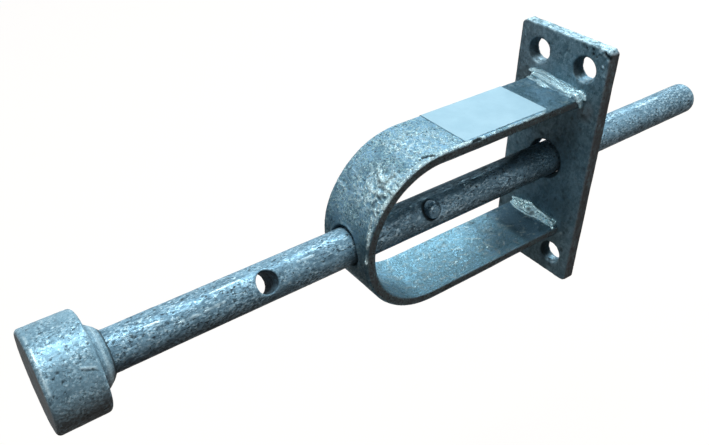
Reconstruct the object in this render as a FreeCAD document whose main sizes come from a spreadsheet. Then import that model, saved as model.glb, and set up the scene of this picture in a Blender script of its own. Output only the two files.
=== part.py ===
# Gate shoot bolt: a round bar sliding through a bowed strap and a screw plate, all galvanised steel
# Millimetres. X runs along the bolt towards the post, Z along the plate's long side
# Origin: middle of the plate's back face, on the axis of the holes the bolt runs in
import FreeCAD, Part
import math
import os
import Sketcher
from FreeCAD import Placement, Rotation, Vector

os.makedirs("parts", exist_ok=True)
doc = FreeCAD.newDocument("gate_shoot_bolt")

# Driving sizes, each set once here and read everywhere else through its alias
SIZES = {
    # Screw plate, cut from 50 x 6 flat bar
    "plate_width": 50,
    "plate_height": 124,
    "plate_thick": 6,
    "plate_corner": 2.5,
    "plate_edge": 0.6,
    "screw_dia": 10.5,
    "screw_mouth": 12,
    "screw_spread": 26,
    "screw_rise": 100,
    # Bowed strap, bent from 30 x 5 flat bar
    "strap_width": 30,
    "strap_thick": 5,
    "strap_edge": 1,
    "bow_height": 75,
    "bow_reach": 125,
    # Fillet welds of the strap on the plate
    "bead_foot": 5,
    "bead_rise": 3.6,
    "bead_end": 0.7,
    "bead_run": 0.4,
    "bead_bulge": 0.35,
    # Bolt, 16 mm round bar with its zinc
    "bar_dia": 16.2,
    "bar_play": 0.9,
    "bar_rest_gap": 0.1,
    "tip_reach": 106,
    "tip_round": 3,
    "lock_dia": 9,
    "lock_place": 164.5,
    "lock_edge": 0.4,
    "pin_roll": 140,
    # Head, a slug of 38 mm bar
    "head_dia": 38,
    "head_length": 19,
    "head_place": 231,
    "head_edge": 1.6,
    # Weld ring between head and bar
    "ring_rise": 4.6,
    "ring_foot": 5.5,
    "ring_bulge": 0.5,
    "ring_gap": 0.05,
    # Stop pin in the bar
    "pin_dia": 7,
    "pin_place": 84,
    "pin_seat": 6,
    "pin_proud": 3.8,
    "pin_crown": 2.2,
    # Paper label round the far edge of the upper leg
    "label_length": 47.5,
    "label_start": 27.3,
    "label_thick": 0.2,
    "label_near": 13.3,
    "label_drop": 3.4,
}
sheet = doc.addObject("Spreadsheet::Sheet", "sizes")
for row, (alias, value) in enumerate(SIZES.items(), start=1):
    sheet.set("A%d" % row, alias)
    sheet.set("B%d" % row, str(value))
    sheet.setAlias("B%d" % row, alias)
doc.recompute()


def size(alias):
    return float(getattr(sheet, alias))


def new_body(label):
    body = doc.addObject("PartDesign::Body", label)
    body.Label = label
    return body


def plane(body, role):
    for feature in body.Origin.OriginFeatures:
        if feature.Role == role:
            return feature
    raise ValueError("no plane %s" % role)


def new_sketch(body, role, name, shift=None):
    # A sketch on one of the body's own planes, moved along that plane's normal by an expression
    sketch = body.newObject("Sketcher::SketchObject", name)
    sketch.AttachmentSupport = [(plane(body, role), "")]
    sketch.MapMode = "FlatFace"
    if shift:
        sketch.setExpression("AttachmentOffset.Base.z", shift)
    return sketch


def drive(item, **expressions):
    # Bind an object's properties to the sheet
    for name, expression in expressions.items():
        item.setExpression(name, expression)


def name_size(sketch, constraint, name, expression):
    # Add a driving constraint under a name and bind it to the sheet
    index = sketch.addConstraint(constraint)
    sketch.renameConstraint(index, name)
    sketch.setExpression("Constraints." + name, expression)


def circle_at_origin(sketch, alias, extra=""):
    edge = sketch.addGeometry(Part.Circle(Vector(0, 0, 0), Vector(0, 0, 1), size(alias) / 2))
    sketch.addConstraint(Sketcher.Constraint("Coincident", edge, 3, -1, 1))
    name_size(
        sketch,
        Sketcher.Constraint("Diameter", edge, size(alias)),
        "across",
        "sizes.%s%s" % (alias, extra),
    )


def lines(sketch, points):
    # A closed outline of straight edges, joined end to end
    count = len(points)
    corners = [Vector(*point) for point in points]
    for i in range(count):
        sketch.addGeometry(Part.LineSegment(corners[i], corners[(i + 1) % count]))
    for i in range(count):
        sketch.addConstraint(Sketcher.Constraint("Coincident", i, 2, (i + 1) % count, 1))


def centred_rectangle(sketch, wide, tall):
    # Edges in order: bottom, right, top, left. The middle stays on the origin
    half_w = size(wide) / 2
    half_h = size(tall) / 2
    lines(sketch, [(-half_w, -half_h), (half_w, -half_h), (half_w, half_h), (-half_w, half_h)])
    for edge in (0, 2):
        sketch.addConstraint(Sketcher.Constraint("Horizontal", edge))
    for edge in (1, 3):
        sketch.addConstraint(Sketcher.Constraint("Vertical", edge))
    sketch.addConstraint(Sketcher.Constraint("Symmetric", 0, 1, 1, 2, -1, 1))
    name_size(sketch, Sketcher.Constraint("DistanceX", 0, 1, 0, 2, 2 * half_w), "wide", "sizes." + wide)
    name_size(sketch, Sketcher.Constraint("DistanceY", 1, 1, 1, 2, 2 * half_h), "tall", "sizes." + tall)


def edges_where(shape, test):
    return ["Edge%d" % (i + 1) for i, edge in enumerate(shape.Edges) if test(edge)]


def at(value, target):
    return abs(value - target) < 1e-4


def rod_hole(body, name, depth):
    # The running hole for the bolt, cut from the plate's back plane towards the head
    sketch = new_sketch(body, "YZ_Plane", name + "_outline")
    circle_at_origin(sketch, "bar_dia", " + 2 * sizes.bar_play")
    hole = body.newObject("PartDesign::Pocket", name)
    hole.Profile = sketch
    drive(hole, Length=depth)
    doc.recompute()
    return hole


def build_plate():
    body = new_body("back_plate")
    outline = new_sketch(body, "YZ_Plane", "plate_outline")
    centred_rectangle(outline, "plate_width", "plate_height")
    slab = body.newObject("PartDesign::Pad", "plate_slab")
    slab.Profile = outline
    slab.Reversed = True
    drive(slab, Length="sizes.plate_thick")
    doc.recompute()

    def is_corner(edge):
        box = edge.BoundBox
        return at(box.XLength, size("plate_thick"))

    corners = body.newObject("PartDesign::Fillet", "plate_corners")
    corners.Base = (slab, edges_where(slab.Shape, is_corner))
    drive(corners, Radius="sizes.plate_corner")
    doc.recompute()

    def is_rim(edge):
        return at(edge.BoundBox.XLength, 0)

    rims = body.newObject("PartDesign::Fillet", "plate_rims")
    rims.Base = (corners, edges_where(corners.Shape, is_rim))
    drive(rims, Radius="sizes.plate_edge")
    doc.recompute()
    rod_hole(body, "plate_rod_hole", "sizes.plate_thick")

    # Four screw holes from the front face, their mouths broken for the screw's neck
    centres = new_sketch(body, "YZ_Plane", "screw_centres", "-sizes.plate_thick")
    half_y = size("screw_spread") / 2
    half_z = size("screw_rise") / 2
    radius = size("screw_dia") / 2
    places = [(-half_y, -half_z), (half_y, -half_z), (half_y, half_z), (-half_y, half_z)]
    for y, z in places:
        centres.addGeometry(Part.Circle(Vector(y, z, 0), Vector(0, 0, 1), radius))
    for ring in (1, 2, 3):
        centres.addConstraint(Sketcher.Constraint("Equal", 0, ring))
    centres.addConstraint(Sketcher.Constraint("Horizontal", 0, 3, 1, 3))
    centres.addConstraint(Sketcher.Constraint("Vertical", 1, 3, 2, 3))
    centres.addConstraint(Sketcher.Constraint("Horizontal", 2, 3, 3, 3))
    centres.addConstraint(Sketcher.Constraint("Vertical", 3, 3, 0, 3))
    centres.addConstraint(Sketcher.Constraint("Symmetric", 0, 3, 2, 3, -1, 1))
    name_size(centres, Sketcher.Constraint("Diameter", 0, 2 * radius), "across", "sizes.screw_dia")
    name_size(
        centres,
        Sketcher.Constraint("DistanceX", 0, 3, 1, 3, 2 * half_y),
        "spread",
        "sizes.screw_spread",
    )
    name_size(
        centres,
        Sketcher.Constraint("DistanceY", 1, 3, 2, 3, 2 * half_z),
        "rise",
        "sizes.screw_rise",
    )
    doc.recompute()
    holes = body.newObject("PartDesign::Hole", "screw_holes")
    holes.Profile = centres
    doc.recompute()
    holes.Threaded = False
    holes.DepthType = "ThroughAll"
    holes.Reversed = True
    holes.HoleCutType = "Countersink"
    holes.HoleCutCustomValues = True
    holes.HoleCutCountersinkAngle = 90
    drive(holes, Diameter="sizes.screw_dia", HoleCutDiameter="sizes.screw_mouth")
    doc.recompute()
    return body


def build_strap():
    # Side view of the bow: two straight legs tangent to a half round, inner outline offset by the bar
    body = new_body("bow_strap")
    side = new_sketch(body, "XZ_Plane", "bow_side")
    front = -size("plate_thick")
    outer = size("bow_height") / 2
    inner = outer - size("strap_thick")
    bend = outer - size("bow_reach")
    quarter = math.pi / 2
    up = Vector(0, 0, 1)
    side.addGeometry(Part.LineSegment(Vector(front, outer, 0), Vector(bend, outer, 0)))
    side.addGeometry(Part.ArcOfCircle(Part.Circle(Vector(bend, 0, 0), up, outer), quarter, 3 * quarter))
    side.addGeometry(Part.LineSegment(Vector(bend, -outer, 0), Vector(front, -outer, 0)))
    side.addGeometry(Part.LineSegment(Vector(front, -outer, 0), Vector(front, -inner, 0)))
    side.addGeometry(Part.LineSegment(Vector(front, -inner, 0), Vector(bend, -inner, 0)))
    side.addGeometry(Part.ArcOfCircle(Part.Circle(Vector(bend, 0, 0), up, inner), quarter, 3 * quarter))
    side.addGeometry(Part.LineSegment(Vector(bend, inner, 0), Vector(front, inner, 0)))
    side.addGeometry(Part.LineSegment(Vector(front, inner, 0), Vector(front, outer, 0)))
    joins = [
        ("Tangent", 0, 2, 1, 1),
        ("Tangent", 1, 2, 2, 1),
        ("Coincident", 2, 2, 3, 1),
        ("Coincident", 3, 2, 4, 1),
        ("Tangent", 4, 2, 5, 2),
        ("Tangent", 5, 1, 6, 1),
        ("Coincident", 6, 2, 7, 1),
        ("Coincident", 7, 2, 0, 1),
        ("Coincident", 1, 3, 5, 3),
        ("PointOnObject", 1, 3, -1),
        ("Horizontal", 0),
        ("Horizontal", 2),
        ("Horizontal", 4),
        ("Horizontal", 6),
        ("Vertical", 3),
        ("Vertical", 7),
        ("Equal", 0, 2),
    ]
    for join in joins:
        side.addConstraint(Sketcher.Constraint(*join))
    name_size(
        side,
        Sketcher.Constraint("Radius", 1, outer),
        "bow",
        "sizes.bow_height / 2",
    )
    name_size(
        side,
        Sketcher.Constraint("DistanceY", 3, 1, 3, 2, size("strap_thick")),
        "thick",
        "sizes.strap_thick",
    )
    name_size(
        side,
        Sketcher.Constraint("DistanceX", 1, 3, -1, 1, -bend),
        "bend_place",
        "sizes.bow_reach - sizes.bow_height / 2",
    )
    name_size(
        side,
        Sketcher.Constraint("DistanceX", 3, 1, -1, 1, -front),
        "butt",
        "sizes.plate_thick",
    )
    bar = body.newObject("PartDesign::Pad", "bow_bar")
    bar.Profile = side
    bar.Midplane = True
    drive(bar, Length="sizes.strap_width")
    doc.recompute()

    # The rolled edges of the flat bar run the whole way round both outlines
    def runs_along(edge):
        box = edge.BoundBox
        return at(box.YLength, 0) and (box.XLength > size("strap_thick"))

    rolled = body.newObject("PartDesign::Fillet", "rolled_edges")
    rolled.Base = (bar, edges_where(bar.Shape, runs_along))
    drive(rolled, Radius="sizes.strap_edge")
    doc.recompute()
    rod_hole(body, "crown_rod_hole", "sizes.bow_reach + sizes.strap_thick")
    return body


def corner_fillet(sketch, root, toe, top, bulge):
    # A weld's cross-section: foot, rise and a bulging face that runs anticlockwise between them
    foot = toe - root
    rise = top - root
    mid = (toe + top) * 0.5
    out = (foot * rise.Length ** 2 + rise * foot.Length ** 2).normalize()
    sunwise = foot.cross(rise).z < 0
    ends = (top, toe) if sunwise else (toe, top)
    sketch.addGeometry(Part.LineSegment(root, toe))
    sketch.addGeometry(Part.Arc(ends[0], mid + out * bulge, ends[1]))
    sketch.addGeometry(Part.LineSegment(top, root))
    sketch.addConstraint(Sketcher.Constraint("Coincident", 0, 2, 1, 2 if sunwise else 1))
    sketch.addConstraint(Sketcher.Constraint("Coincident", 1, 1 if sunwise else 2, 2, 1))
    sketch.addConstraint(Sketcher.Constraint("Coincident", 2, 2, 0, 1))
    sketch.addConstraint(Sketcher.Constraint("Horizontal", 0))
    sketch.addConstraint(Sketcher.Constraint("Vertical", 2))
    span = (toe - top).Length / 2
    return (span * span + bulge * bulge) / (2 * bulge)


def face_radius(foot, rise, bulge):
    # Radius of the arc over a chord set by foot and rise, standing out by the bulge
    return "((%s ^ 2 + %s ^ 2) / 4 + %s ^ 2) / (2 * %s)" % (foot, rise, bulge, bulge)


def bead_section(body, name, shift, share, corner, level):
    # One cross-section of a strap weld, in the corner between the plate's face and the leg
    sketch = new_sketch(body, "XZ_Plane", name, shift)
    part = size(share) if share else 1
    factor = " * sizes.%s" % share if share else ""
    foot = size("bead_foot") * part
    rise = size("bead_rise") * part
    root = Vector(-size("plate_thick"), corner, 0)
    toe = root + Vector(-foot, 0, 0)
    top = root + Vector(0, rise, 0)
    radius = corner_fillet(sketch, root, toe, top, size("bead_bulge") * part)
    foot_rule = "sizes.bead_foot" + factor
    rise_rule = "sizes.bead_rise" + factor
    bend_rule = face_radius("sizes.bead_foot", "sizes.bead_rise", "sizes.bead_bulge") + factor
    name_size(sketch, Sketcher.Constraint("DistanceX", 0, 2, 0, 1, foot), "foot", foot_rule)
    name_size(sketch, Sketcher.Constraint("DistanceY", 2, 2, 2, 1, rise), "rise", rise_rule)
    name_size(sketch, Sketcher.Constraint("Radius", 1, radius), "face", bend_rule)
    name_size(
        sketch,
        Sketcher.Constraint("DistanceX", 0, 1, -1, 1, size("plate_thick")),
        "butt",
        "sizes.plate_thick",
    )
    ends = (0, 1, -1, 1) if corner < 0 else (-1, 1, 0, 1)
    name_size(sketch, Sketcher.Constraint("DistanceY", *ends, abs(corner)), "level", level)
    return sketch


def build_bead(label, corner, level):
    # A hand laid bead: full in the middle, thin where it starts and stops at the strap's edges
    body = new_body(label)
    reach = "(sizes.strap_width / 2 - sizes.strap_edge)"
    stations = [
        ("start", "-" + reach, "bead_end"),
        ("swell", "-sizes.bead_run * " + reach, None),
        ("run", "sizes.bead_run * " + reach, None),
        ("stop", reach, "bead_end"),
    ]
    sections = [
        bead_section(body, "%s_%s" % (label, name), shift, share, corner, level)
        for name, shift, share in stations
    ]
    doc.recompute()
    bead = body.newObject("PartDesign::AdditiveLoft", label + "_bead")
    bead.Profile = sections[0]
    bead.Sections = [(section, "") for section in sections[1:]]
    bead.Ruled = False
    doc.recompute()
    return body


def lay_on_axis(body, roll="0"):
    # The bolt lies in the bottom of its holes, clear of them by the rest gap
    body.Placement = Placement(Vector(0, 0, 0), Rotation(Vector(1, 0, 0), 0))
    body.setExpression("Placement.Base.z", "sizes.bar_rest_gap - sizes.bar_play")
    body.setExpression("Placement.Rotation.Angle", roll)


def build_rod():
    body = new_body("bolt_rod")
    section = new_sketch(body, "YZ_Plane", "bar_section", "-sizes.head_place")
    circle_at_origin(section, "bar_dia")
    bar = body.newObject("PartDesign::Pad", "bar_length")
    bar.Profile = section
    drive(bar, Length="sizes.head_place + sizes.tip_reach")
    doc.recompute()

    def is_tip(edge):
        box = edge.BoundBox
        return at(box.XLength, 0) and at(box.XMin, size("tip_reach"))

    tip = body.newObject("PartDesign::Fillet", "bar_tip")
    tip.Base = (bar, edges_where(bar.Shape, is_tip))
    drive(tip, Radius="sizes.tip_round")
    doc.recompute()

    # Cross hole for a padlock, right through on the line of the stop pin, with broken rims
    cross = new_sketch(body, "XY_Plane", "lock_outline")
    hole = cross.addGeometry(
        Part.Circle(Vector(-size("lock_place"), 0, 0), Vector(0, 0, 1), size("lock_dia") / 2)
    )
    cross.addConstraint(Sketcher.Constraint("PointOnObject", hole, 3, -1))
    name_size(cross, Sketcher.Constraint("Diameter", hole, size("lock_dia")), "across", "sizes.lock_dia")
    name_size(
        cross,
        Sketcher.Constraint("DistanceX", hole, 3, -1, 1, size("lock_place")),
        "place",
        "sizes.lock_place",
    )
    lock = body.newObject("PartDesign::Pocket", "lock_hole")
    lock.Profile = cross
    lock.Midplane = True
    drive(lock, Length="2 * sizes.bar_dia")
    doc.recompute()

    def is_lock_rim(edge):
        return abs(edge.CenterOfMass.x + size("lock_place")) < size("lock_dia") / 4

    rims = body.newObject("PartDesign::Fillet", "lock_rims")
    rims.Base = (lock, edges_where(lock.Shape, is_lock_rim))
    drive(rims, Radius="sizes.lock_edge")
    doc.recompute()

    # Blind seat of the stop pin
    seat = new_sketch(body, "XY_Plane", "pin_outline", "sizes.bar_dia / 2 - sizes.pin_seat")
    mouth = seat.addGeometry(
        Part.Circle(Vector(-size("pin_place"), 0, 0), Vector(0, 0, 1), size("pin_dia") / 2)
    )
    seat.addConstraint(Sketcher.Constraint("PointOnObject", mouth, 3, -1))
    name_size(seat, Sketcher.Constraint("Diameter", mouth, size("pin_dia")), "across", "sizes.pin_dia")
    name_size(
        seat,
        Sketcher.Constraint("DistanceX", mouth, 3, -1, 1, size("pin_place")),
        "place",
        "sizes.pin_place",
    )
    socket = body.newObject("PartDesign::Pocket", "pin_socket")
    socket.Profile = seat
    socket.Reversed = True
    drive(socket, Length="sizes.bar_dia")
    doc.recompute()
    lay_on_axis(body, "sizes.pin_roll - 90")
    return body


def build_head():
    body = new_body("bolt_head")
    section = new_sketch(body, "YZ_Plane", "head_section", "-sizes.head_place - sizes.head_length")
    circle_at_origin(section, "head_dia")
    slug = body.newObject("PartDesign::Pad", "head_slug")
    slug.Profile = section
    drive(slug, Length="sizes.head_length")
    doc.recompute()
    rims = body.newObject("PartDesign::Fillet", "head_rims")
    rims.Base = (slug, edges_where(slug.Shape, lambda edge: at(edge.BoundBox.XLength, 0)))
    drive(rims, Radius="sizes.head_edge")
    doc.recompute()
    lay_on_axis(body)
    return body


def build_ring():
    # Weld ring turned about the bolt's axis: foot along the bar, rise up the back of the head
    body = new_body("head_weld")
    sketch = new_sketch(body, "XZ_Plane", "ring_section")
    gap = size("ring_gap")
    root = Vector(-size("head_place") + gap, size("bar_dia") / 2 + gap, 0)
    toe = root + Vector(size("ring_foot"), 0, 0)
    top = root + Vector(0, size("ring_rise"), 0)
    radius = corner_fillet(sketch, root, toe, top, size("ring_bulge"))
    bend_rule = face_radius("sizes.ring_foot", "sizes.ring_rise", "sizes.ring_bulge")
    name_size(
        sketch,
        Sketcher.Constraint("DistanceX", 0, 1, 0, 2, size("ring_foot")),
        "foot",
        "sizes.ring_foot",
    )
    name_size(
        sketch,
        Sketcher.Constraint("DistanceY", 2, 2, 2, 1, size("ring_rise")),
        "rise",
        "sizes.ring_rise",
    )
    name_size(sketch, Sketcher.Constraint("Radius", 1, radius), "face", bend_rule)
    name_size(
        sketch,
        Sketcher.Constraint("DistanceX", 0, 1, -1, 1, -root.x),
        "place",
        "sizes.head_place - sizes.ring_gap",
    )
    name_size(
        sketch,
        Sketcher.Constraint("DistanceY", -1, 1, 0, 1, root.y),
        "bore",
        "sizes.bar_dia / 2 + sizes.ring_gap",
    )
    ring = body.newObject("PartDesign::Revolution", "ring_turn")
    ring.Profile = sketch
    ring.ReferenceAxis = (sketch, ["H_Axis"])
    ring.Angle = 360
    doc.recompute()
    lay_on_axis(body)
    return body


def build_pin():
    # Round stub seated in the bar, its end domed over
    body = new_body("stop_pin")
    section = new_sketch(body, "XY_Plane", "pin_section", "sizes.bar_dia / 2 - sizes.pin_seat")
    ring = section.addGeometry(
        Part.Circle(Vector(-size("pin_place"), 0, 0), Vector(0, 0, 1), size("pin_dia") / 2)
    )
    section.addConstraint(Sketcher.Constraint("PointOnObject", ring, 3, -1))
    name_size(section, Sketcher.Constraint("Diameter", ring, size("pin_dia")), "across", "sizes.pin_dia")
    name_size(
        section,
        Sketcher.Constraint("DistanceX", ring, 3, -1, 1, size("pin_place")),
        "place",
        "sizes.pin_place",
    )
    stub = body.newObject("PartDesign::Pad", "pin_stub")
    stub.Profile = section
    drive(stub, Length="sizes.pin_seat + sizes.pin_proud")
    doc.recompute()
    end = size("bar_dia") / 2 + size("pin_proud")
    dome = body.newObject("PartDesign::Fillet", "pin_dome")
    dome.Base = (stub, edges_where(stub.Shape, lambda edge: at(edge.BoundBox.ZMin, end)))
    drive(dome, Radius="sizes.pin_crown")
    doc.recompute()
    lay_on_axis(body, "sizes.pin_roll - 90")
    return body


def build_label():
    # Bare paper strip: flat on the leg, round its rolled edge and a little way down the far side
    body = new_body("paper_label")
    sketch = new_sketch(body, "YZ_Plane", "label_fold", "-sizes.label_start")
    top = size("bow_height") / 2
    side = size("strap_width") / 2
    edge = size("strap_edge")
    thick = size("label_thick")
    near = -size("label_near")
    drop = top - size("label_drop")
    knee = Vector(side - edge, top - edge, 0)
    up = Vector(0, 0, 1)
    quarter = math.pi / 2
    sketch.addGeometry(Part.LineSegment(Vector(near, top, 0), Vector(knee.x, top, 0)))
    sketch.addGeometry(Part.ArcOfCircle(Part.Circle(knee, up, edge), 0, quarter))
    sketch.addGeometry(Part.LineSegment(Vector(side, knee.y, 0), Vector(side, drop, 0)))
    sketch.addGeometry(Part.LineSegment(Vector(side, drop, 0), Vector(side + thick, drop, 0)))
    sketch.addGeometry(Part.LineSegment(Vector(side + thick, drop, 0), Vector(side + thick, knee.y, 0)))
    sketch.addGeometry(Part.ArcOfCircle(Part.Circle(knee, up, edge + thick), 0, quarter))
    sketch.addGeometry(Part.LineSegment(Vector(knee.x, top + thick, 0), Vector(near, top + thick, 0)))
    sketch.addGeometry(Part.LineSegment(Vector(near, top + thick, 0), Vector(near, top, 0)))
    joins = [
        ("Tangent", 0, 2, 1, 2),
        ("Tangent", 1, 1, 2, 1),
        ("Coincident", 2, 2, 3, 1),
        ("Coincident", 3, 2, 4, 1),
        ("Tangent", 4, 2, 5, 1),
        ("Tangent", 5, 2, 6, 1),
        ("Coincident", 6, 2, 7, 1),
        ("Coincident", 7, 2, 0, 1),
        ("Coincident", 1, 3, 5, 3),
        ("Horizontal", 0),
        ("Vertical", 2),
        ("Horizontal", 3),
        ("Vertical", 4),
        ("Horizontal", 6),
        ("Vertical", 7),
    ]
    for join in joins:
        sketch.addConstraint(Sketcher.Constraint(*join))
    name_size(sketch, Sketcher.Constraint("Radius", 1, edge), "fold", "sizes.strap_edge")
    name_size(sketch, Sketcher.Constraint("DistanceX", 3, 1, 3, 2, thick), "thick", "sizes.label_thick")
    name_size(
        sketch,
        Sketcher.Constraint("DistanceX", -1, 1, 2, 1, side),
        "side",
        "sizes.strap_width / 2",
    )
    name_size(
        sketch,
        Sketcher.Constraint("DistanceY", -1, 1, 0, 1, top),
        "level",
        "sizes.bow_height / 2",
    )
    name_size(sketch, Sketcher.Constraint("DistanceX", 0, 1, -1, 1, -near), "near", "sizes.label_near")
    name_size(
        sketch,
        Sketcher.Constraint("DistanceY", 3, 1, 0, 1, size("label_drop")),
        "drop",
        "sizes.label_drop",
    )
    paper = body.newObject("PartDesign::Pad", "label_paper")
    paper.Profile = sketch
    paper.Reversed = True
    drive(paper, Length="sizes.label_length")
    doc.recompute()
    return body


bow_half = size("bow_height") / 2
parts = [
    build_plate(),
    build_strap(),
    build_bead("upper_weld", bow_half, "sizes.bow_height / 2"),
    build_bead("lower_weld", size("strap_thick") - bow_half, "sizes.bow_height / 2 - sizes.strap_thick"),
    build_rod(),
    build_head(),
    build_ring(),
    build_pin(),
    build_label(),
]
doc.recompute()

# Nothing is written unless every feature built and every piece is one sound solid
for item in doc.Objects:
    if "Invalid" in item.State or "Error" in item.State:
        raise RuntimeError("%s failed: %s" % (item.Name, item.State))
for part in parts:
    shape = part.Shape
    if shape.isNull() or not shape.isValid() or len(shape.Solids) != 1:
        raise RuntimeError("%s is not one valid solid" % part.Label)
for part in parts:
    part.Shape.exportStep("parts/%s.step" % part.Label)
    box = part.Shape.BoundBox
    print(
        "%-12s volume %9.1f  x %7.2f %7.2f  y %6.2f %6.2f  z %6.2f %6.2f"
        % (part.Label, part.Shape.Volume, box.XMin, box.XMax, box.YMin, box.YMax, box.ZMin, box.ZMax)
    )
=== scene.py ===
# Galvanised gate bolt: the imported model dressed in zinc, with its camera, floor and lights
import bpy
import bmesh
import math
from functools import partial
import numpy as np
from mathutils import Vector, Matrix
from mathutils.kdtree import KDTree


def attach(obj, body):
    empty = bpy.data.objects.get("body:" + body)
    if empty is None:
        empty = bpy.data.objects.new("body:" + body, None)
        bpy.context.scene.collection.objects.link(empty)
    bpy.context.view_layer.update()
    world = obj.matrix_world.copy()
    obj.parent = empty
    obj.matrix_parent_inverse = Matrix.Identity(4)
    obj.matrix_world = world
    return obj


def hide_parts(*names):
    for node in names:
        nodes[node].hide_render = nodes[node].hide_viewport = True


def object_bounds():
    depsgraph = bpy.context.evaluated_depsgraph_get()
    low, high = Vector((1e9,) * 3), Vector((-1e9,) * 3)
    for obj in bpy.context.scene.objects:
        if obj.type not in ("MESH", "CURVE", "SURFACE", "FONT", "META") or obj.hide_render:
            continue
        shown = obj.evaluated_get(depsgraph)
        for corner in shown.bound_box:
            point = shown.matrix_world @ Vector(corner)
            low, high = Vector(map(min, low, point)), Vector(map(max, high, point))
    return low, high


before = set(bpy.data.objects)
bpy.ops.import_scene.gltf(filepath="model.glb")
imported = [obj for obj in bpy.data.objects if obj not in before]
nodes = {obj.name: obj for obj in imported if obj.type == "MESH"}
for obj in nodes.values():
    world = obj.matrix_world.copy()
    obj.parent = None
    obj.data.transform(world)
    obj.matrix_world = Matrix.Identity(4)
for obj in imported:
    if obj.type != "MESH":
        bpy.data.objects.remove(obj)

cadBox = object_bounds()
scene = bpy.context.scene
mm = 0.001


# camera, at the photograph's angle
camera = {
    "place": (-266.277, -199.624, 186.945),  # mm
    "heading": 53.745,  # degrees from +X towards +Y
    "pitch": 35.665,  # degrees down
    "roll": -0.02,
    "lens": 38.34,  # mm
    "sensor": 36,  # mm wide
    "near": 0.01,  # m
}


def addCamera(spec):
    heading, pitch = math.radians(spec["heading"]), math.radians(spec["pitch"])
    level = math.cos(pitch)
    look = Vector((math.cos(heading) * level, math.sin(heading) * level, -math.sin(pitch)))
    right = Vector((math.sin(heading), -math.cos(heading), 0))
    up = right.cross(look)
    turn = Matrix.Rotation(math.radians(spec["roll"]), 3, look)
    right, up = turn @ right, turn @ up
    data = bpy.data.cameras.new("photoCamera")
    data.lens = spec["lens"]
    data.sensor_width = spec["sensor"]
    data.clip_start = spec["near"]
    cam = bpy.data.objects.new("photoCamera", data)
    basis = Matrix((right, up, -look)).transposed().to_4x4()
    basis.translation = Vector(spec["place"]) * mm
    cam.matrix_world = basis
    scene.collection.objects.link(cam)
    scene.camera = cam


addCamera(camera)
print("camera set")


# shader helpers
def addNode(tree, kind, inputs=None, **props):
    node = tree.nodes.new(kind)
    for name, value in props.items():
        setattr(node, name, value)
    for name, value in (inputs or {}).items():
        node.inputs[name].default_value = value
    return node


def feed(tree, node, values):
    # each value is a number, a colour or an output socket
    for index, value in values:
        if isinstance(value, (int, float, tuple)):
            node.inputs[index].default_value = value
        else:
            tree.links.new(value, node.inputs[index])


def mathNode(tree, operation, first, second, clamp=False):
    node = addNode(tree, "ShaderNodeMath", operation=operation, use_clamp=clamp)
    feed(tree, node, ((0, first), (1, second)))
    return node.outputs[0]


def mixColor(tree, amount, first, second):
    node = addNode(tree, "ShaderNodeMix", data_type="RGBA")
    feed(tree, node, ((0, amount), (6, first), (7, second)))
    return node.outputs[2]


def stretchRange(tree, value, low, high):
    # 0 below low, 1 above high
    node = addNode(tree, "ShaderNodeMapRange", {"From Min": low, "From Max": high})
    node.interpolation_type = "SMOOTHSTEP"
    tree.links.new(value, node.inputs["Value"])
    return node.outputs["Result"]


# floor, world and lamps
studio = {
    "floorLevel": -0.2,  # m
    "floorHalf": 6.0,
    "floorColor": (0.12, 0.09, 0.07),
    "floorRough": 0.9,
    "floorGlow": 0.94,  # how white it is where it is seen
    "ambient": (0.045, 0.042, 0.04),
    "lampColor": (0.86, 0.97, 1.0),
}
lamps = [  # places and sizes in m, spin in degrees, power in W
    {"name": "longStrip", "place": (0.35, 0.33, 0.95), "target": (0.35, 0.33, 0), "size": (1.7, 0.28),
     "spin": 26.7, "power": 13.5},
    {"name": "farStrip", "place": (1.55, 0.94, 0.95), "target": (1.0, 0.6, 0), "size": (0.9, 0.26),
     "spin": 26.7, "power": 5.5},
    {"name": "frontFill", "place": (-0.1, -0.3, 1.0), "target": (-0.1, 0, 0), "size": (0.5, 0.3),
     "spin": 0, "power": 1.2},
]


def seenRays(tree):
    # 1 for rays that look at the background: from the camera, in a reflection or through glass
    path = addNode(tree, "ShaderNodeLightPath").outputs
    seen = mathNode(tree, "MAXIMUM", path["Is Camera Ray"], path["Is Glossy Ray"])
    return mathNode(tree, "MAXIMUM", seen, path["Is Transmission Ray"])


def addFloor(spec):
    half, level = spec["floorHalf"], spec["floorLevel"]
    mesh = bpy.data.meshes.new("floor")
    corners = [(x, y, level) for x, y in ((-half, -half), (half, -half), (half, half), (-half, half))]
    mesh.from_pydata(corners, [], [(0, 1, 2, 3)])
    floor = bpy.data.objects.new("floor", mesh)
    scene.collection.objects.link(floor)
    mat = bpy.data.materials.new("paleFloor")
    mat.use_nodes = True
    tree = mat.node_tree
    shader = tree.nodes["Principled BSDF"]
    shader.inputs["Base Color"].default_value = (*spec["floorColor"], 1)
    shader.inputs["Roughness"].default_value = spec["floorRough"]
    shader.inputs["Specular IOR Level"].default_value = 0
    glow = addNode(tree, "ShaderNodeEmission")
    feed(tree, glow, (("Strength", mathNode(tree, "MULTIPLY", seenRays(tree), spec["floorGlow"])),))
    both = addNode(tree, "ShaderNodeAddShader")
    feed(tree, both, ((0, shader.outputs[0]), (1, glow.outputs[0])))
    tree.links.new(both.outputs[0], tree.nodes["Material Output"].inputs["Surface"])
    mesh.materials.append(mat)


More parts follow.
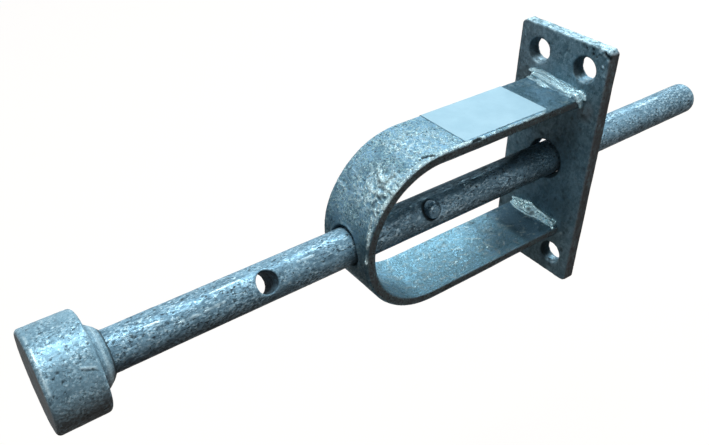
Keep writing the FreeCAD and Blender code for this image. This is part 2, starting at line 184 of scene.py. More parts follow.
def addWorld(spec):
    world = bpy.data.worlds.new("studio")
    scene.world = world
    world.use_nodes = True
    tree = world.node_tree
    ambient = tree.nodes["Background"]
    ambient.inputs["Color"].default_value = (*spec["ambient"], 1)
    white = addNode(tree, "ShaderNodeBackground", {"Color": (1, 1, 1, 1), "Strength": 1})
    pick = addNode(tree, "ShaderNodeMixShader")
    feed(tree, pick, ((0, seenRays(tree)), (1, ambient.outputs[0]), (2, white.outputs[0])))
    tree.links.new(pick.outputs[0], tree.nodes["World Output"].inputs["Surface"])


def addLamp(spec):
    data = bpy.data.lights.new(spec["name"], "AREA")
    data.shape = "RECTANGLE"
    data.size, data.size_y = spec["size"]
    data.energy = spec["power"]
    data.color = studio["lampColor"]
    lamp = bpy.data.objects.new(spec["name"], data)
    lamp.location = spec["place"]
    aim = Vector(spec["target"]) - Vector(spec["place"])
    turn = Matrix.Rotation(math.radians(spec["spin"]), 4, "Z")
    lamp.rotation_euler = (turn @ aim.to_track_quat("-Z", "Y").to_matrix().to_4x4()).to_euler()
    scene.collection.objects.link(lamp)


addFloor(studio)
addWorld(studio)
for lamp in lamps:
    addLamp(lamp)
scene.view_settings.view_transform = "Standard"
print("studio set")


# working the skins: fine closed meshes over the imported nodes, moved point by point
def smoothStep(value, low=0.0, high=1.0):
    part = np.clip((value - low) / (high - low), 0, 1)
    return part * part * (3 - 2 * part)


def fadeOut(value, low, high):
    return 1 - smoothStep(value, low, high)


def hump(value, start, full, leave, end):
    # rises from start to full, falls from leave to end
    return smoothStep(value, start, full) * fadeOut(value, leave, end)


def softNoise(points, seed):
    # smooth noise from -1 to 1 over a grid of unit cells, the same in each run
    cell = np.floor(points).astype(np.int64)
    part = points - cell
    fade = part * part * (3 - 2 * part)
    total = np.zeros(len(points))
    for corner in range(8):
        step = np.array([corner & 1, corner >> 1 & 1, corner >> 2 & 1])
        at = cell + step
        mix = at[:, 0] * 73856093 ^ at[:, 1] * 19349663 ^ at[:, 2] * 83492791 ^ seed * 2654435
        mix = (mix ^ mix >> 13) * 1274126177 & 0xFFFFFFFF
        value = (mix ^ mix >> 16 & 0xFFFF) & 0xFFFF
        weight = np.prod(np.where(step == 1, fade, 1 - fade), axis=1)
        total += weight * (value / 32767.5 - 1)
    return total


def layeredNoise(points, seed, layers=3):
    total, size, scale = 0, 1.0, 1.0
    for layer in range(layers):
        total = total + softNoise(points * scale + layer * 17.3, seed + layer) * size
        size, scale = size * 0.5, scale * 2.03
    return total / 1.6


def spacedPath(path, step):
    # the path with its points at even small steps
    path = np.array(path, float)
    out = [path[0]]
    for start, end in zip(path[:-1], path[1:]):
        count = max(1, int(np.linalg.norm(end - start) / step))
        out += [start + (end - start) * (index + 1) / count for index in range(count)]
    return np.array(out)


class Skin:
    def __init__(self, name, node, grain, extras=()):
        # grain is the size of the skin's squares in mm; extras are more closed shapes to melt in
        self.node = node
        mesh = nodes[node].data.copy()
        self.piece = bpy.data.objects.new(name, mesh)
        scene.collection.objects.link(self.piece)
        shape = bmesh.new()
        shape.from_mesh(mesh)
        bmesh.ops.remove_doubles(shape, verts=shape.verts, dist=1e-6)
        for extra in extras:
            extra(shape)
        shape.to_mesh(mesh)
        shape.free()
        remesh = self.piece.modifiers.new("remesh", "REMESH")
        remesh.mode = "VOXEL"
        remesh.voxel_size = grain * mm
        graph = bpy.context.evaluated_depsgraph_get()
        fine = bpy.data.meshes.new_from_object(self.piece.evaluated_get(graph))
        self.piece.modifiers.clear()
        self.piece.data = fine
        bpy.data.meshes.remove(mesh)
        fine.name = name
        count = len(fine.vertices)
        flat = np.zeros(count * 3)
        fine.vertices.foreach_get("co", flat)
        self.points = flat.reshape(-1, 3) / mm
        fine.vertices.foreach_get("normal", flat)
        self.normals = flat.reshape(-1, 3).copy()
        self.near = KDTree(count)
        for index, point in enumerate(self.points):
            self.near.insert(point, index)
        self.near.balance()
        self.lift = np.zeros(count)
        self.masks = {name: np.zeros(count) for name in ("bright", "dark", "dullAndShade", "warmAndShade", "coolAndLit")}

    def mark(self, mask, amount):
        self.masks[mask] = np.maximum(self.masks[mask], amount)

    def markSome(self, inside, near, looks):
        for mask, amount in looks.items():
            self.masks[mask][inside] = np.maximum(self.masks[mask][inside], amount * near)

    def spotty(self, size, seed, low, high):
        return smoothStep(softNoise(self.points / size, seed), low, high)

    def patchy(self, size, seed, low, high):
        return smoothStep(layeredNoise(self.points / size, seed), low, high)

    def ripple(self, rows, zones=None):
        # height and size in mm, seed, layers, zone and how far the waves are drawn out
        for height, size, seed, layers, zone, stretch in rows:
            grid = self.points / (size * np.array(stretch))
            self.lift += height * layeredNoise(grid, seed, layers) * (zones[zone] if zone else 1.0)

    def dab(self, place, radius, height=0.0, **looks):
        found = self.near.find_range(place, radius)
        if not found:
            return
        inside = np.array([index for point, index, far in found])
        near = fadeOut(np.array([far for point, index, far in found]), radius * 0.25, radius)
        self.lift[inside] += height * near
        self.markSome(inside, near, looks)

    def dabAll(self, rows, onto):
        # height in mm, look and spots; a spot is two measures, which onto turns into a place, and a radius
        for height, looks, spots in rows:
            for first, second, radius in spots:
                self.dab(onto(first, second), radius, height, **looks)

    def stroke(self, path, radius, height=0.0, broken=0.0, seed=1, **looks):
        steps = spacedPath(path, radius * 0.7)
        low, high = steps.min(0) - radius, steps.max(0) + radius
        inside = np.where(np.all((self.points > low) & (self.points < high), axis=1))[0]
        if len(inside) == 0:
            return
        close = self.points[inside]
        far = np.min([np.linalg.norm(close - step, axis=1) for step in steps], axis=0)
        near = fadeOut(far, radius * 0.2, radius)
        if broken:
            near = near * smoothStep(softNoise(close / (radius * 2.4), seed), broken - 1.0, broken)
        self.lift[inside] += height * near
        self.markSome(inside, near, looks)

    def scatter(self, rows, zones=None):
        # how many, seed, sizes and heights in mm, zone and look, at random points of the skin
        for count, seed, sizes, heights, zone, looks in rows:
            draw = np.random.default_rng(seed)
            pool = np.where(zones[zone])[0] if zone else np.arange(len(self.points))
            for index in draw.choice(pool, min(count, len(pool)), replace=False):
                size = draw.uniform(*sizes)
                height = draw.uniform(*heights)
                strength = draw.uniform(0.5, 1.0)
                faded = {mask: amount * strength for mask, amount in looks.items()}
                self.dab(self.points[index], size, height, **faded)

    def finish(self, body, coat, spec):
        low, high = (np.array(corner) / mm for corner in cadBox)
        moved = np.clip(self.points + self.normals * self.lift[:, None], low, high)
        mesh = self.piece.data
        mesh.vertices.foreach_set("co", (moved * mm).ravel())
        for name, values in self.masks.items():
            layer = mesh.attributes.new(name, "FLOAT", "POINT")
            layer.data.foreach_set("value", np.clip(values, 0, 1).astype(np.float32))
        mesh.polygons.foreach_set("use_smooth", np.ones(len(mesh.polygons), bool))
        mesh.materials.clear()
        mesh.materials.append(zincMaterial(coat, spec["zinc"], spec["relief"]))
        mesh.update()
        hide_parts(self.node)
        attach(self.piece, body)
        print(self.piece.name, "made with", len(mesh.polygons) * 2, "triangles")


def tube(path, sides=10):
    # a closed tube through (x, y, z, radius) points in mm, for melting into a weld
    def build(shape):
        spots = np.array(path, float)
        rings = []
        for index, spot in enumerate(spots):
            ahead = spots[min(index + 1, len(spots) - 1)][:3] - spots[max(index - 1, 0)][:3]
            along = Vector(ahead).normalized()
            side = along.cross(Vector((0.31, 0.2, 0.93))).normalized()
            top = along.cross(side)
            centre, radius = Vector(spot[:3]), spot[3]
            ring = []
            for turn in range(sides):
                angle = 2 * math.pi * turn / sides
                out = side * math.cos(angle) + top * math.sin(angle)
                ring.append(shape.verts.new((centre + out * radius) * mm))
            rings.append(ring)
        for first, second in zip(rings[:-1], rings[1:]):
            for turn in range(sides):
                after = (turn + 1) % sides
                shape.faces.new((first[turn], first[after], second[after], second[turn]))
        shape.faces.new(rings[0][::-1])
        shape.faces.new(rings[-1])
    return build


def blob(place, radius):
    # a rounded lump for melting into a weld
    def build(shape):
        centre = Matrix.Translation(Vector(place) * mm)
        bmesh.ops.create_icosphere(shape, subdivisions=3, radius=radius * mm, matrix=centre)
    return build


# galvanised zinc, one node group used by every metal piece
groupInputs = {
    "NodeSocketVector": {"Stretch": (1, 1, 1)},  # squeezes the pattern along each axis
    "NodeSocketColor": {
        "Low Color": (0.2, 0.25, 0.28, 1), "Mid Color": (0.34, 0.45, 0.5, 1), "High Color": (0.5, 0.66, 0.72, 1),
        "Run And Highlight Color": (0.66, 0.88, 0.98, 1), "Pit And Shade Color": (0.06, 0.08, 0.09, 1), "Dull And Shade Color": (0.1, 0.14, 0.16, 1),
        "Warm And Shade Color": (0.24, 0.21, 0.2, 1), "Cool And Lit Color": (0.36, 0.72, 1, 1),
    },
    "NodeSocketFloat": {  # scales are per mm
        "Patch Scale": 0.12, "Grain Scale": 0.9, "Grain Amount": 0.6, "Speck Amount": 0.6, "Fleck Amount": 1.0,
        "Dull And Shade Amount": 1.0, "Dull And Shade Grain": 0.2, "Rough Low": 0.28, "Rough High": 0.5, "Metal Low": 0.05,
        "Metal High": 0.2, "Run And Highlight Metal": 0.4, "Dull And Shade Metal": 0.1,
    },
}
groupOutputs = {"NodeSocketColor": ["Color"], "NodeSocketFloat": ["Roughness", "Metallic", "Height"]}


def galvanisedGroup():
    group = bpy.data.node_groups.new("galvanisedZinc", "ShaderNodeTree")
    face = group.interface
    for kind, sockets in groupInputs.items():
        for name, value in sockets.items():
            face.new_socket(name, in_out="INPUT", socket_type=kind).default_value = value
    for kind, names in groupOutputs.items():
        for name in names:
            face.new_socket(name, in_out="OUTPUT", socket_type=kind)
    given = addNode(group, "NodeGroupInput").outputs
    result = addNode(group, "NodeGroupOutput").inputs
    link = group.links.new

    times, plus, minus, larger = (
        partial(mathNode, group, operation) for operation in ("MULTIPLY", "ADD", "SUBTRACT", "MAXIMUM"))
    mix, ranged = partial(mixColor, group), partial(stretchRange, group)

    def blend(amount, first, second):
        node = addNode(group, "ShaderNodeMix", data_type="FLOAT")
        feed(group, node, ((0, amount), (2, first), (3, second)))
        return node.outputs[0]

    def painted(mask):
        return addNode(group, "ShaderNodeAttribute", attribute_name=mask).outputs["Fac"]

    place = addNode(group, "ShaderNodeTexCoord").outputs["Object"]
    toMm = addNode(group, "ShaderNodeVectorMath", {1: (1000, 1000, 1000)}, operation="MULTIPLY")
    link(place, toMm.inputs[0])
    drawn = addNode(group, "ShaderNodeVectorMath", operation="MULTIPLY")
    link(toMm.outputs[0], drawn.inputs[0])
    link(given["Stretch"], drawn.inputs[1])
    spot = drawn.outputs[0]

    def noiseAt(scale, detail, rough, twist):
        node = addNode(group, "ShaderNodeTexNoise", {"Detail": detail, "Roughness": rough, "Distortion": twist})
        link(spot, node.inputs["Vector"])
        feed(group, node, (("Scale", scale),))
        return node.outputs["Fac"]

    # patches of tone, grain gathered in clusters, and flecks, chips and specks of dirt
    patch = ranged(noiseAt(given["Patch Scale"], 4, 0.62, 0.9), 0.38, 0.62)
    grain = ranged(noiseAt(given["Grain Scale"], 4, 0.66, 0.5), 0.4, 0.66)
    fineNoise = noiseAt(1.45, 2, 0.6, 0.4)
    fine = ranged(fineNoise, 0.55, 0.64)
    chip = ranged(fineNoise, 0.43, 0.35)
    speck = ranged(noiseAt(1.05, 2, 0.6, 0.8), 0.61, 0.67)
    cluster = ranged(noiseAt(times(given["Grain Scale"], 0.22), 2, 0.5, 0.6), 0.4, 0.6)
    evenness = plus(times(cluster, 0.7), 0.55)
    grain = times(grain, evenness, clamp=True)
    sheen = times(grain, given["Grain Amount"])
    fleck = times(fine, plus(times(sheen, 0.6), 0.25))
    fleck = times(fleck, times(evenness, given["Fleck Amount"]), clamp=True)
    chipped = times(times(chip, times(given["Fleck Amount"], 0.35), clamp=True), cluster)
    dirt = times(speck, given["Speck Amount"])

    # the masks that the skins carry
    bright, dark, dullAndShade, warmAndShade, coolAndLit = (painted(mask) for mask in ("bright", "dark", "dullAndShade", "warmAndShade", "coolAndLit"))
    # the dull mask also holds painted shade, drawn in the dull colour
    dulledAndShaded = times(dullAndShade, given["Dull And Shade Amount"])
    clean = minus(1.0, times(larger(dulledAndShaded, coolAndLit), 0.6))
    # the bright mask holds zinc runs and painted highlights, drawn in the run colour
    runAndHighlightMask = times(bright, plus(times(grain, 0.5), 0.6), clamp=True)

    dullAndShadeTone = mix(times(patch, 0.3), given["Dull And Shade Color"], given["Mid Color"])
    dullAndShadeTone = mix(times(grain, given["Dull And Shade Grain"]), dullAndShadeTone, given["High Color"])
    # the warm mask also holds painted shade on sides and undersides
    warmAndShadeTone = mix(times(grain, 0.35), given["Warm And Shade Color"], given["High Color"])
    color = mix(patch, given["Low Color"], given["Mid Color"])
    for amount, tone in (
        (sheen, given["High Color"]),
        (fleck, given["Run And Highlight Color"]),
        (chipped, given["Pit And Shade Color"]),
        # the cool mask also holds painted light
        (times(coolAndLit, 0.72), given["Cool And Lit Color"]),
        (dulledAndShaded, dullAndShadeTone),
        (times(warmAndShade, 0.9), warmAndShadeTone),
        (times(dirt, clean), given["Pit And Shade Color"]),
        (runAndHighlightMask, given["Run And Highlight Color"]),
        # the dark mask holds real pits and painted shade
        (dark, given["Pit And Shade Color"]),
    ):
        color = mix(amount, color, tone)
    link(color, result["Color"])

    metal = blend(sheen, given["Metal Low"], given["Metal High"])
    metal = blend(dulledAndShaded, metal, given["Dull And Shade Metal"])
    metal = blend(runAndHighlightMask, metal, given["Run And Highlight Metal"])
    metal = larger(metal, times(coolAndLit, 0.36))
    metal = times(metal, minus(1.0, times(warmAndShade, 0.75)))
    link(times(metal, minus(1.0, dark)), result["Metallic"])
    link(blend(larger(sheen, runAndHighlightMask), given["Rough High"], given["Rough Low"]), result["Roughness"])
    link(minus(plus(times(grain, 0.5), times(fine, 0.3)), times(dirt, 0.8)), result["Height"])
    return group


zincGroup = galvanisedGroup()


def zincMaterial(name, values, relief):
    # relief is the depth of the bump in m
    mat = bpy.data.materials.new(name)
    mat.use_nodes = True
    tree = mat.node_tree
    shader = tree.nodes["Principled BSDF"]
    shader.inputs["Specular IOR Level"].default_value = 0
    coat = addNode(tree, "ShaderNodeGroup", values, node_tree=zincGroup)
    bump = addNode(tree, "ShaderNodeBump", {"Strength": 1.0, "Distance": relief})
    feed(tree, shader, (("Base Color", coat.outputs["Color"]), ("Roughness", coat.outputs["Roughness"]),
                        ("Metallic", coat.outputs["Metallic"])))
    tree.links.new(coat.outputs["Height"], bump.inputs["Height"])
    tree.links.new(bump.outputs["Normal"], shader.inputs["Normal"])
    return mat


# screw plate: flat bar, smooth in front with painted shade, rough on its sawn ends with painted light
plate = {
    "grain": 0.43,
    "half": (25.0, 62.0),  # mm, across and up
    "front": -6.0,
    "relief": 0.0001,
    "zinc": {
        "Stretch": (1, 1, 0.8), "Patch Scale": 0.09, "Grain Scale": 0.7, "Low Color": (0.16, 0.27, 0.33, 1),
        "Mid Color": (0.32, 0.51, 0.62, 1), "High Color": (0.52, 0.78, 0.92, 1), "Dull And Shade Color": (0.18, 0.3, 0.38, 1),
        "Warm And Shade Color": (0.3, 0.3, 0.32, 1), "Dull And Shade Amount": 0.8, "Grain Amount": 0.7, "Speck Amount": 0.6,
        "Dull And Shade Grain": 0.32, "Rough Low": 0.22, "Rough High": 0.34, "Metal Low": 0.05, "Metal High": 0.2,
        "Dull And Shade Metal": 0.05,
    },
    "ripples": [
        (0.08, 22, 3, 2, None, 1), (0.03, 3, 5, 2, None, 1),
        (0.22, 2.1, 7, 3, "ends", 1), (0.12, 3.0, 11, 3, "sides", (1, 1, 2.5)),
    ],
    "specks": [
        (150, 25, (0.35, 0.8), (-0.2, -0.05), "ends", {"dark": 0.9}),
        (60, 27, (0.3, 0.6), (-0.15, -0.05), "sides", {"dark": 0.7}),
        (330, 41, (0.8, 1.8), (-0.1, 0.0), "faces", {"dark": 0.5}),
        (160, 43, (0.7, 1.5), (0.02, 0.1), "faces", {"bright": 0.22}),
        (60, 45, (0.6, 1.0), (0.05, 0.15), "upper", {"bright": 0.5}),
    ],
    # pits and lumps on the front, as across, up and radius in mm
    "dabs": [
        (-0.35, {"dark": 1.0}, [(-15.5, 60.1, 1.1), (-15.9, 58.3, 1.1), (8.0, 55.0, 0.8), (-3.0, -41.0, 0.9),
                                (-12.2, 59.8, 0.8), (-18.0, 57.5, 0.7)]),
        (0.25, {"bright": 0.9}, [(-19.4, 60.3, 1.2), (-21.9, 59.5, 1.1), (-24.1, 57.6, 1.0), (-22.1, 54.3, 1.0),
                                 (-17.6, -35.3, 1.1), (-20.5, 61.2, 1.0), (-23.0, 61.0, 1.1), (-24.0, 50.5, 0.8)]),
    ],
    "cornerLump": (-5.2, -24.0, 61.4),
    "cornerNotch": [(-6, -22.2, 60.2), (-5.9, -23.6, 59.6), (-5.6, -24.8, 59.0)],
    "screwHoles": [(-13, -50), (-13, 50), (13, -50), (13, 50)],
    "mouth": 5.9,  # mm, radius of a screw hole's broken mouth
    "bore": 9.0,  # mm, radius of the bolt's hole
}


def makePlate(spec):
    skin = Skin("screwPlate", "back_plate", spec["grain"])
    x, y, z = skin.points.T
    depth = -x  # from the back face
    halfY, halfZ = spec["half"]
    ends = smoothStep(np.abs(z), halfZ - 0.9, halfZ - 0.2)
    sides = smoothStep(np.abs(y), halfY - 0.9, halfY - 0.2)
    faces = (ends < 0.1) & (sides < 0.1)
    skin.ripple(spec["ripples"], {"ends": ends, "sides": sides})
    skin.scatter(spec["specks"], {"ends": ends > 0.7, "sides": sides > 0.7, "faces": faces,
                                  "upper": faces & (z > 34)})
    skin.lift -= 0.12 * ends
    # painted light on the sawn ends, over their rough zinc
    skin.mark("bright", 0.9 * ends * skin.patchy(1.6, 21, -0.5, 0.4))
    skin.mark("bright", 0.35 * sides * skin.patchy((2, 2, 3), 37, 0.0, 0.6))
    # painted shade: the flat faces darkened, less so towards the top
    faceShade = 1 - 0.35 * smoothStep(z + 8 * layeredNoise(skin.points / 20, 23), 18, 44)
    skin.mark("dullAndShade", faceShade * (1 - np.maximum(ends, 0.35 * sides)))
    skin.mark("coolAndLit", 0.22 * smoothStep(z, 20, 44) * skin.patchy(11, 47, -0.4, 0.5) * faces)
    # painted shade on the sides; a brown tinge at the far top and under the upper leg
    skin.mark("warmAndShade", sides * (1 - ends))
    tinge = smoothStep(y + 6 * layeredNoise(skin.points / 12, 49), 0, 14)
    skin.mark("warmAndShade", 0.4 * tinge * smoothStep(z, 20, 40) * (1 - ends))
    skin.mark("warmAndShade", 0.55 * fadeOut(np.hypot(y + 17.5, (z - 32) * 0.8), 2.0, 6.0))
    skin.dabAll(spec["dabs"], lambda across, up: (spec["front"], across, up))
    # corner where the zinc hung: a lump, and a notch under it
    skin.dab(spec["cornerLump"], 2.0, 0.6, bright=1.0)
    skin.stroke(spec["cornerNotch"], 1.3, -0.5, dark=1.0)
    skin.lift -= 0.8 * smoothStep(np.abs(y), halfY - 2.0, halfY) * smoothStep(np.abs(z), halfZ - 2.0, halfZ)
    # broken mouths of the screw holes, with painted light on the low side of the wall and painted shade on the high
    # side
    front, inside, mouth = smoothStep(depth, 3.4, 5.6), smoothStep(depth, 0.6, 1.6), spec["mouth"]
    broken = 0.22 * smoothStep(depth, 4.2, 5.6) * skin.spotty(1.4, 31, -0.3, 0.8)
    shine = 0.9 * skin.spotty(1.2, 33, -0.3, 0.6)
    shade = 0.85 * smoothStep(depth, 0.4, 1.2)
    for holeY, holeZ in spec["screwHoles"]:
        reach = np.hypot(y - holeY, z - holeZ)
        rise = y - holeY + z - holeZ
        skin.lift += fadeOut(reach, mouth - 0.3, mouth + 0.5) * (0.3 * inside * (1 - front) - 0.3 * front)
        skin.lift -= broken * fadeOut(np.abs(reach - mouth), 0.3, 1.2)
        wall = fadeOut(reach, mouth - 0.1, mouth + 0.7)
        low = smoothStep(-rise, 0.5, 4.0)
        skin.masks["dullAndShade"] *= 1 - 0.75 * wall
        skin.mark("coolAndLit", 0.6 * wall * low)
        skin.mark("bright", shine * wall * low)
        skin.mark("dark", shade * wall * smoothStep(rise, -3.5, 0.5))
    # the bolt's hole: painted shade inside, zinc hanging in its top, eased at the bottom
    bore = np.hypot(y, z - bar["axis"])
    radius = spec["bore"]
    skin.mark("dark", 0.9 * fadeOut(bore, radius + 0.8, radius + 1.5) * smoothStep(depth, 0.5, 2.0))
    skin.lift += 0.3 * fadeOut(np.abs(bore - radius), 0.2, 0.7) * smoothStep(z, 2.0, 6.0)
    skin.lift -= 0.2 * fadeOut(bore, radius + 0.3, radius + 1.0) * smoothStep(-z, -2.0, 3.0)
    skin.finish("bracket", "zincPlate", spec)


# bowed strap: flat bar with pooled zinc along its near outer edge and a scribbled patch on the bend
strap = {
    "grain": 0.48,
    "bend": -87.5,  # mm, where the legs end and the bend starts
    "outer": 37.5,
    "inner": 32.5,
    "half": 15.0,
    "bore": 9.0,
    "relief": 0.00045,
    "zinc": {
        "Stretch": (1, 1, 1), "Patch Scale": 0.09, "Grain Scale": 1.15, "Low Color": (0.16, 0.32, 0.46, 1),
        "Mid Color": (0.29, 0.54, 0.77, 1), "High Color": (0.55, 0.9, 1, 1), "Run And Highlight Color": (0.76, 0.97, 1, 1),
        "Dull And Shade Color": (0.085, 0.165, 0.22, 1), "Warm And Shade Color": (0.3, 0.31, 0.33, 1), "Cool And Lit Color": (0.37, 0.77, 1, 1),
        "Dull And Shade Grain": 0.1, "Grain Amount": 0.85, "Speck Amount": 0.9, "Fleck Amount": 1.5, "Rough Low": 0.17,
        "Rough High": 0.28, "Metal Low": 0.05, "Metal High": 0.28, "Run And Highlight Metal": 0.7, "Dull And Shade Metal": 0.04,
    },
    "ripples": [(0.16, 18, 51, 2, None, 1), (0.05, 3.4, 53, 2, None, 1), (0.1, 2.2, 55, 3, "edges", 1)],
    "specks": [
        (70, 91, (0.3, 0.75), (-0.22, -0.06), "plain", {"dark": 0.8}),
        (60, 93, (0.25, 0.5), (0.06, 0.16), "bend", {"bright": 0.7}),
        (40, 95, (0.3, 0.8), (-0.12, 0.12), "edges", {"bright": 0.5}),
    ],
    # strokes on the outer face as (turn, across): degrees round the bend, or mm back along the leg below 0
    "upperLip": [(-22, -14.6), (-10.7, -14.3), (-4, -14.3), (3, -14.4), (6, -14.8), (20, -14.6), (27, -14.7),
                 (34, -14.6), (44, -14.6), (50, -14.4)],
    "lowerLip": [(50, -14.4), (55, -14.2), (60, -14.0), (66, -13.8), (75, -14.2), (82, -14.4), (90, -14.7)],
    "innerLip": [(4, -13.2), (13, -13.2), (21, -13.2), (28, -12.6), (33, -11.8), (38, -10.6), (41.5, -9.4)],
    "legLip": [(-24, -14.7), (-33, -14.5), (-45, -14.6), (-58, -14.7)],
    "nick": [(12.2, -11.6), (9.5, -12.4), (7.0, -13.9)],
    "notch": [(-19.4, -14.9), (-17.6, -14.7), (-15.8, -15.0)],
    "curl": [(35.6, -2.6), (37.1, -3.3), (38.9, -5.7), (39.2, -8.1), (36.9, -9.3), (33.8, -9.0), (31.4, -9.5)],
    "squiggles": [
        [(41.5, -6.6), (41.1, -9.4), (41.0, -12.0), (41.4, -14.2)], [(46.8, -6.9), (46.2, -8.6), (47.2, -10.4)],
        [(44.2, -8.9), (45.4, -10.8), (44.4, -12.6)], [(49.7, -9.6), (50.2, -11.2), (52.0, -12.2)],
        [(53.6, -9.9), (55.0, -11.4), (54.4, -13.2)], [(56.2, -11.4), (57.9, -13.6)],
        [(60.8, -11.8), (63.5, -12.6), (67.0, -12.8)], [(70.5, -12.9), (73.5, -13.4)],
    ],
    # how they are drawn: depth under the face, radius and height in mm, how broken, seed and look
    "strokes": [
        # the lips and the curl are painted bright as highlights on their raised zinc
        ("upperLip", 0, 1.3, 0.5, 0.5, 73, {"bright": 1.5}), ("upperLip", 0.3, 1.0, 0.2, 0.25, 76, {"bright": 1.0}),
        ("lowerLip", 0.1, 1.1, 0.35, 0.4, 74, {"bright": 1.2}), ("innerLip", 0, 0.75, 0.32, 0.3, 75, {"bright": 0.85}),
        ("curl", 0, 1.2, 0.75, 0, 1, {"bright": 1.6}), ("nick", 0, 1.1, -0.6, 0, 1, {"dark": 1.8}),
        ("legLip", 0.2, 1.0, 0.15, 0.3, 78, {"bright": 0.9}), ("notch", 0.2, 1.2, -0.5, 0, 1, {"dark": 2.2}),
    ],
    # scratches on the lower leg's inner face, drawn at random
    "scratches": {"count": 46, "seed": 99, "along": (-112, -30), "across": (-14, 14), "swing": 1.3,
                  "reach": (1.5, 6), "width": 0.75, "height": 0.12},
}


def onBow(turn, across, radius):
    # a point on the bow; below 0 the turn is mm back along the upper leg
    if turn < 0:
        return (strap["bend"] - turn, across, radius)
    angle = math.radians(turn)
    return (strap["bend"] - radius * math.sin(angle), across, radius * math.cos(angle))


def bowPath(points, radius):
    # drawn round the bend in steps of about 3 degrees, without cutting its corners
    out = []
    for (turn, across), (nextTurn, nextAcross) in zip(points[:-1], points[1:]):
        parts = max(1, int(abs(nextTurn - turn) / 3))
        for part in range(parts):
            share = part / parts
            out.append(onBow(turn + (nextTurn - turn) * share, across + (nextAcross - across) * share, radius))
    out.append(onBow(*points[-1], radius))
    return out


def shifted(points, turn, across):
    return [(spot[0] + turn, spot[1] + across) for spot in points]


def strokeBow(skin, spec):
    outer = spec["outer"]
    for name, sunk, radius, height, broken, seed, looks in spec["strokes"]:
        skin.stroke(bowPath(spec[name], outer - sunk), radius, height, broken, seed, **looks)
    # the squiggles, painted bright as highlights on their raised zinc, and the painted shade beside each and beside
    # the curl
    skin.stroke(bowPath(shifted(spec["curl"], 2.0, 0.2), outer), 0.8, -0.2, dark=0.6, broken=0.1)
    for index, squiggle in enumerate(spec["squiggles"]):
        skin.stroke(bowPath(squiggle, outer), 1.0, 0.5, bright=1.6, broken=0.3, seed=77 + index)
        beside = bowPath(shifted(squiggle, 1.6, -0.4), outer)
        skin.stroke(beside, 0.8, -0.2, dark=0.5, broken=0.2, seed=87 + index)


def scratchLeg(skin, spec, bend, inner):
    draw = np.random.default_rng(spec["seed"])
    for index in range(spec["count"]):
        start = np.array([draw.uniform(*spec["along"]), draw.uniform(*spec["across"])])
        swing = draw.uniform(-spec["swing"], spec["swing"])
        reach = draw.uniform(*spec["reach"])
        ends = [start, start + reach * np.array([math.cos(swing), math.sin(swing)])]
        path = [(x, y, -math.sqrt(max(inner ** 2 - max(bend - x, 0) ** 2, 0))) for x, y in ends]
        if index % 3:
            skin.stroke(path, spec["width"], spec["height"], broken=0.2, seed=index, bright=0.9)
        else:
            skin.stroke(path, spec["width"], -spec["height"], broken=0.2, seed=index, dark=0.4)


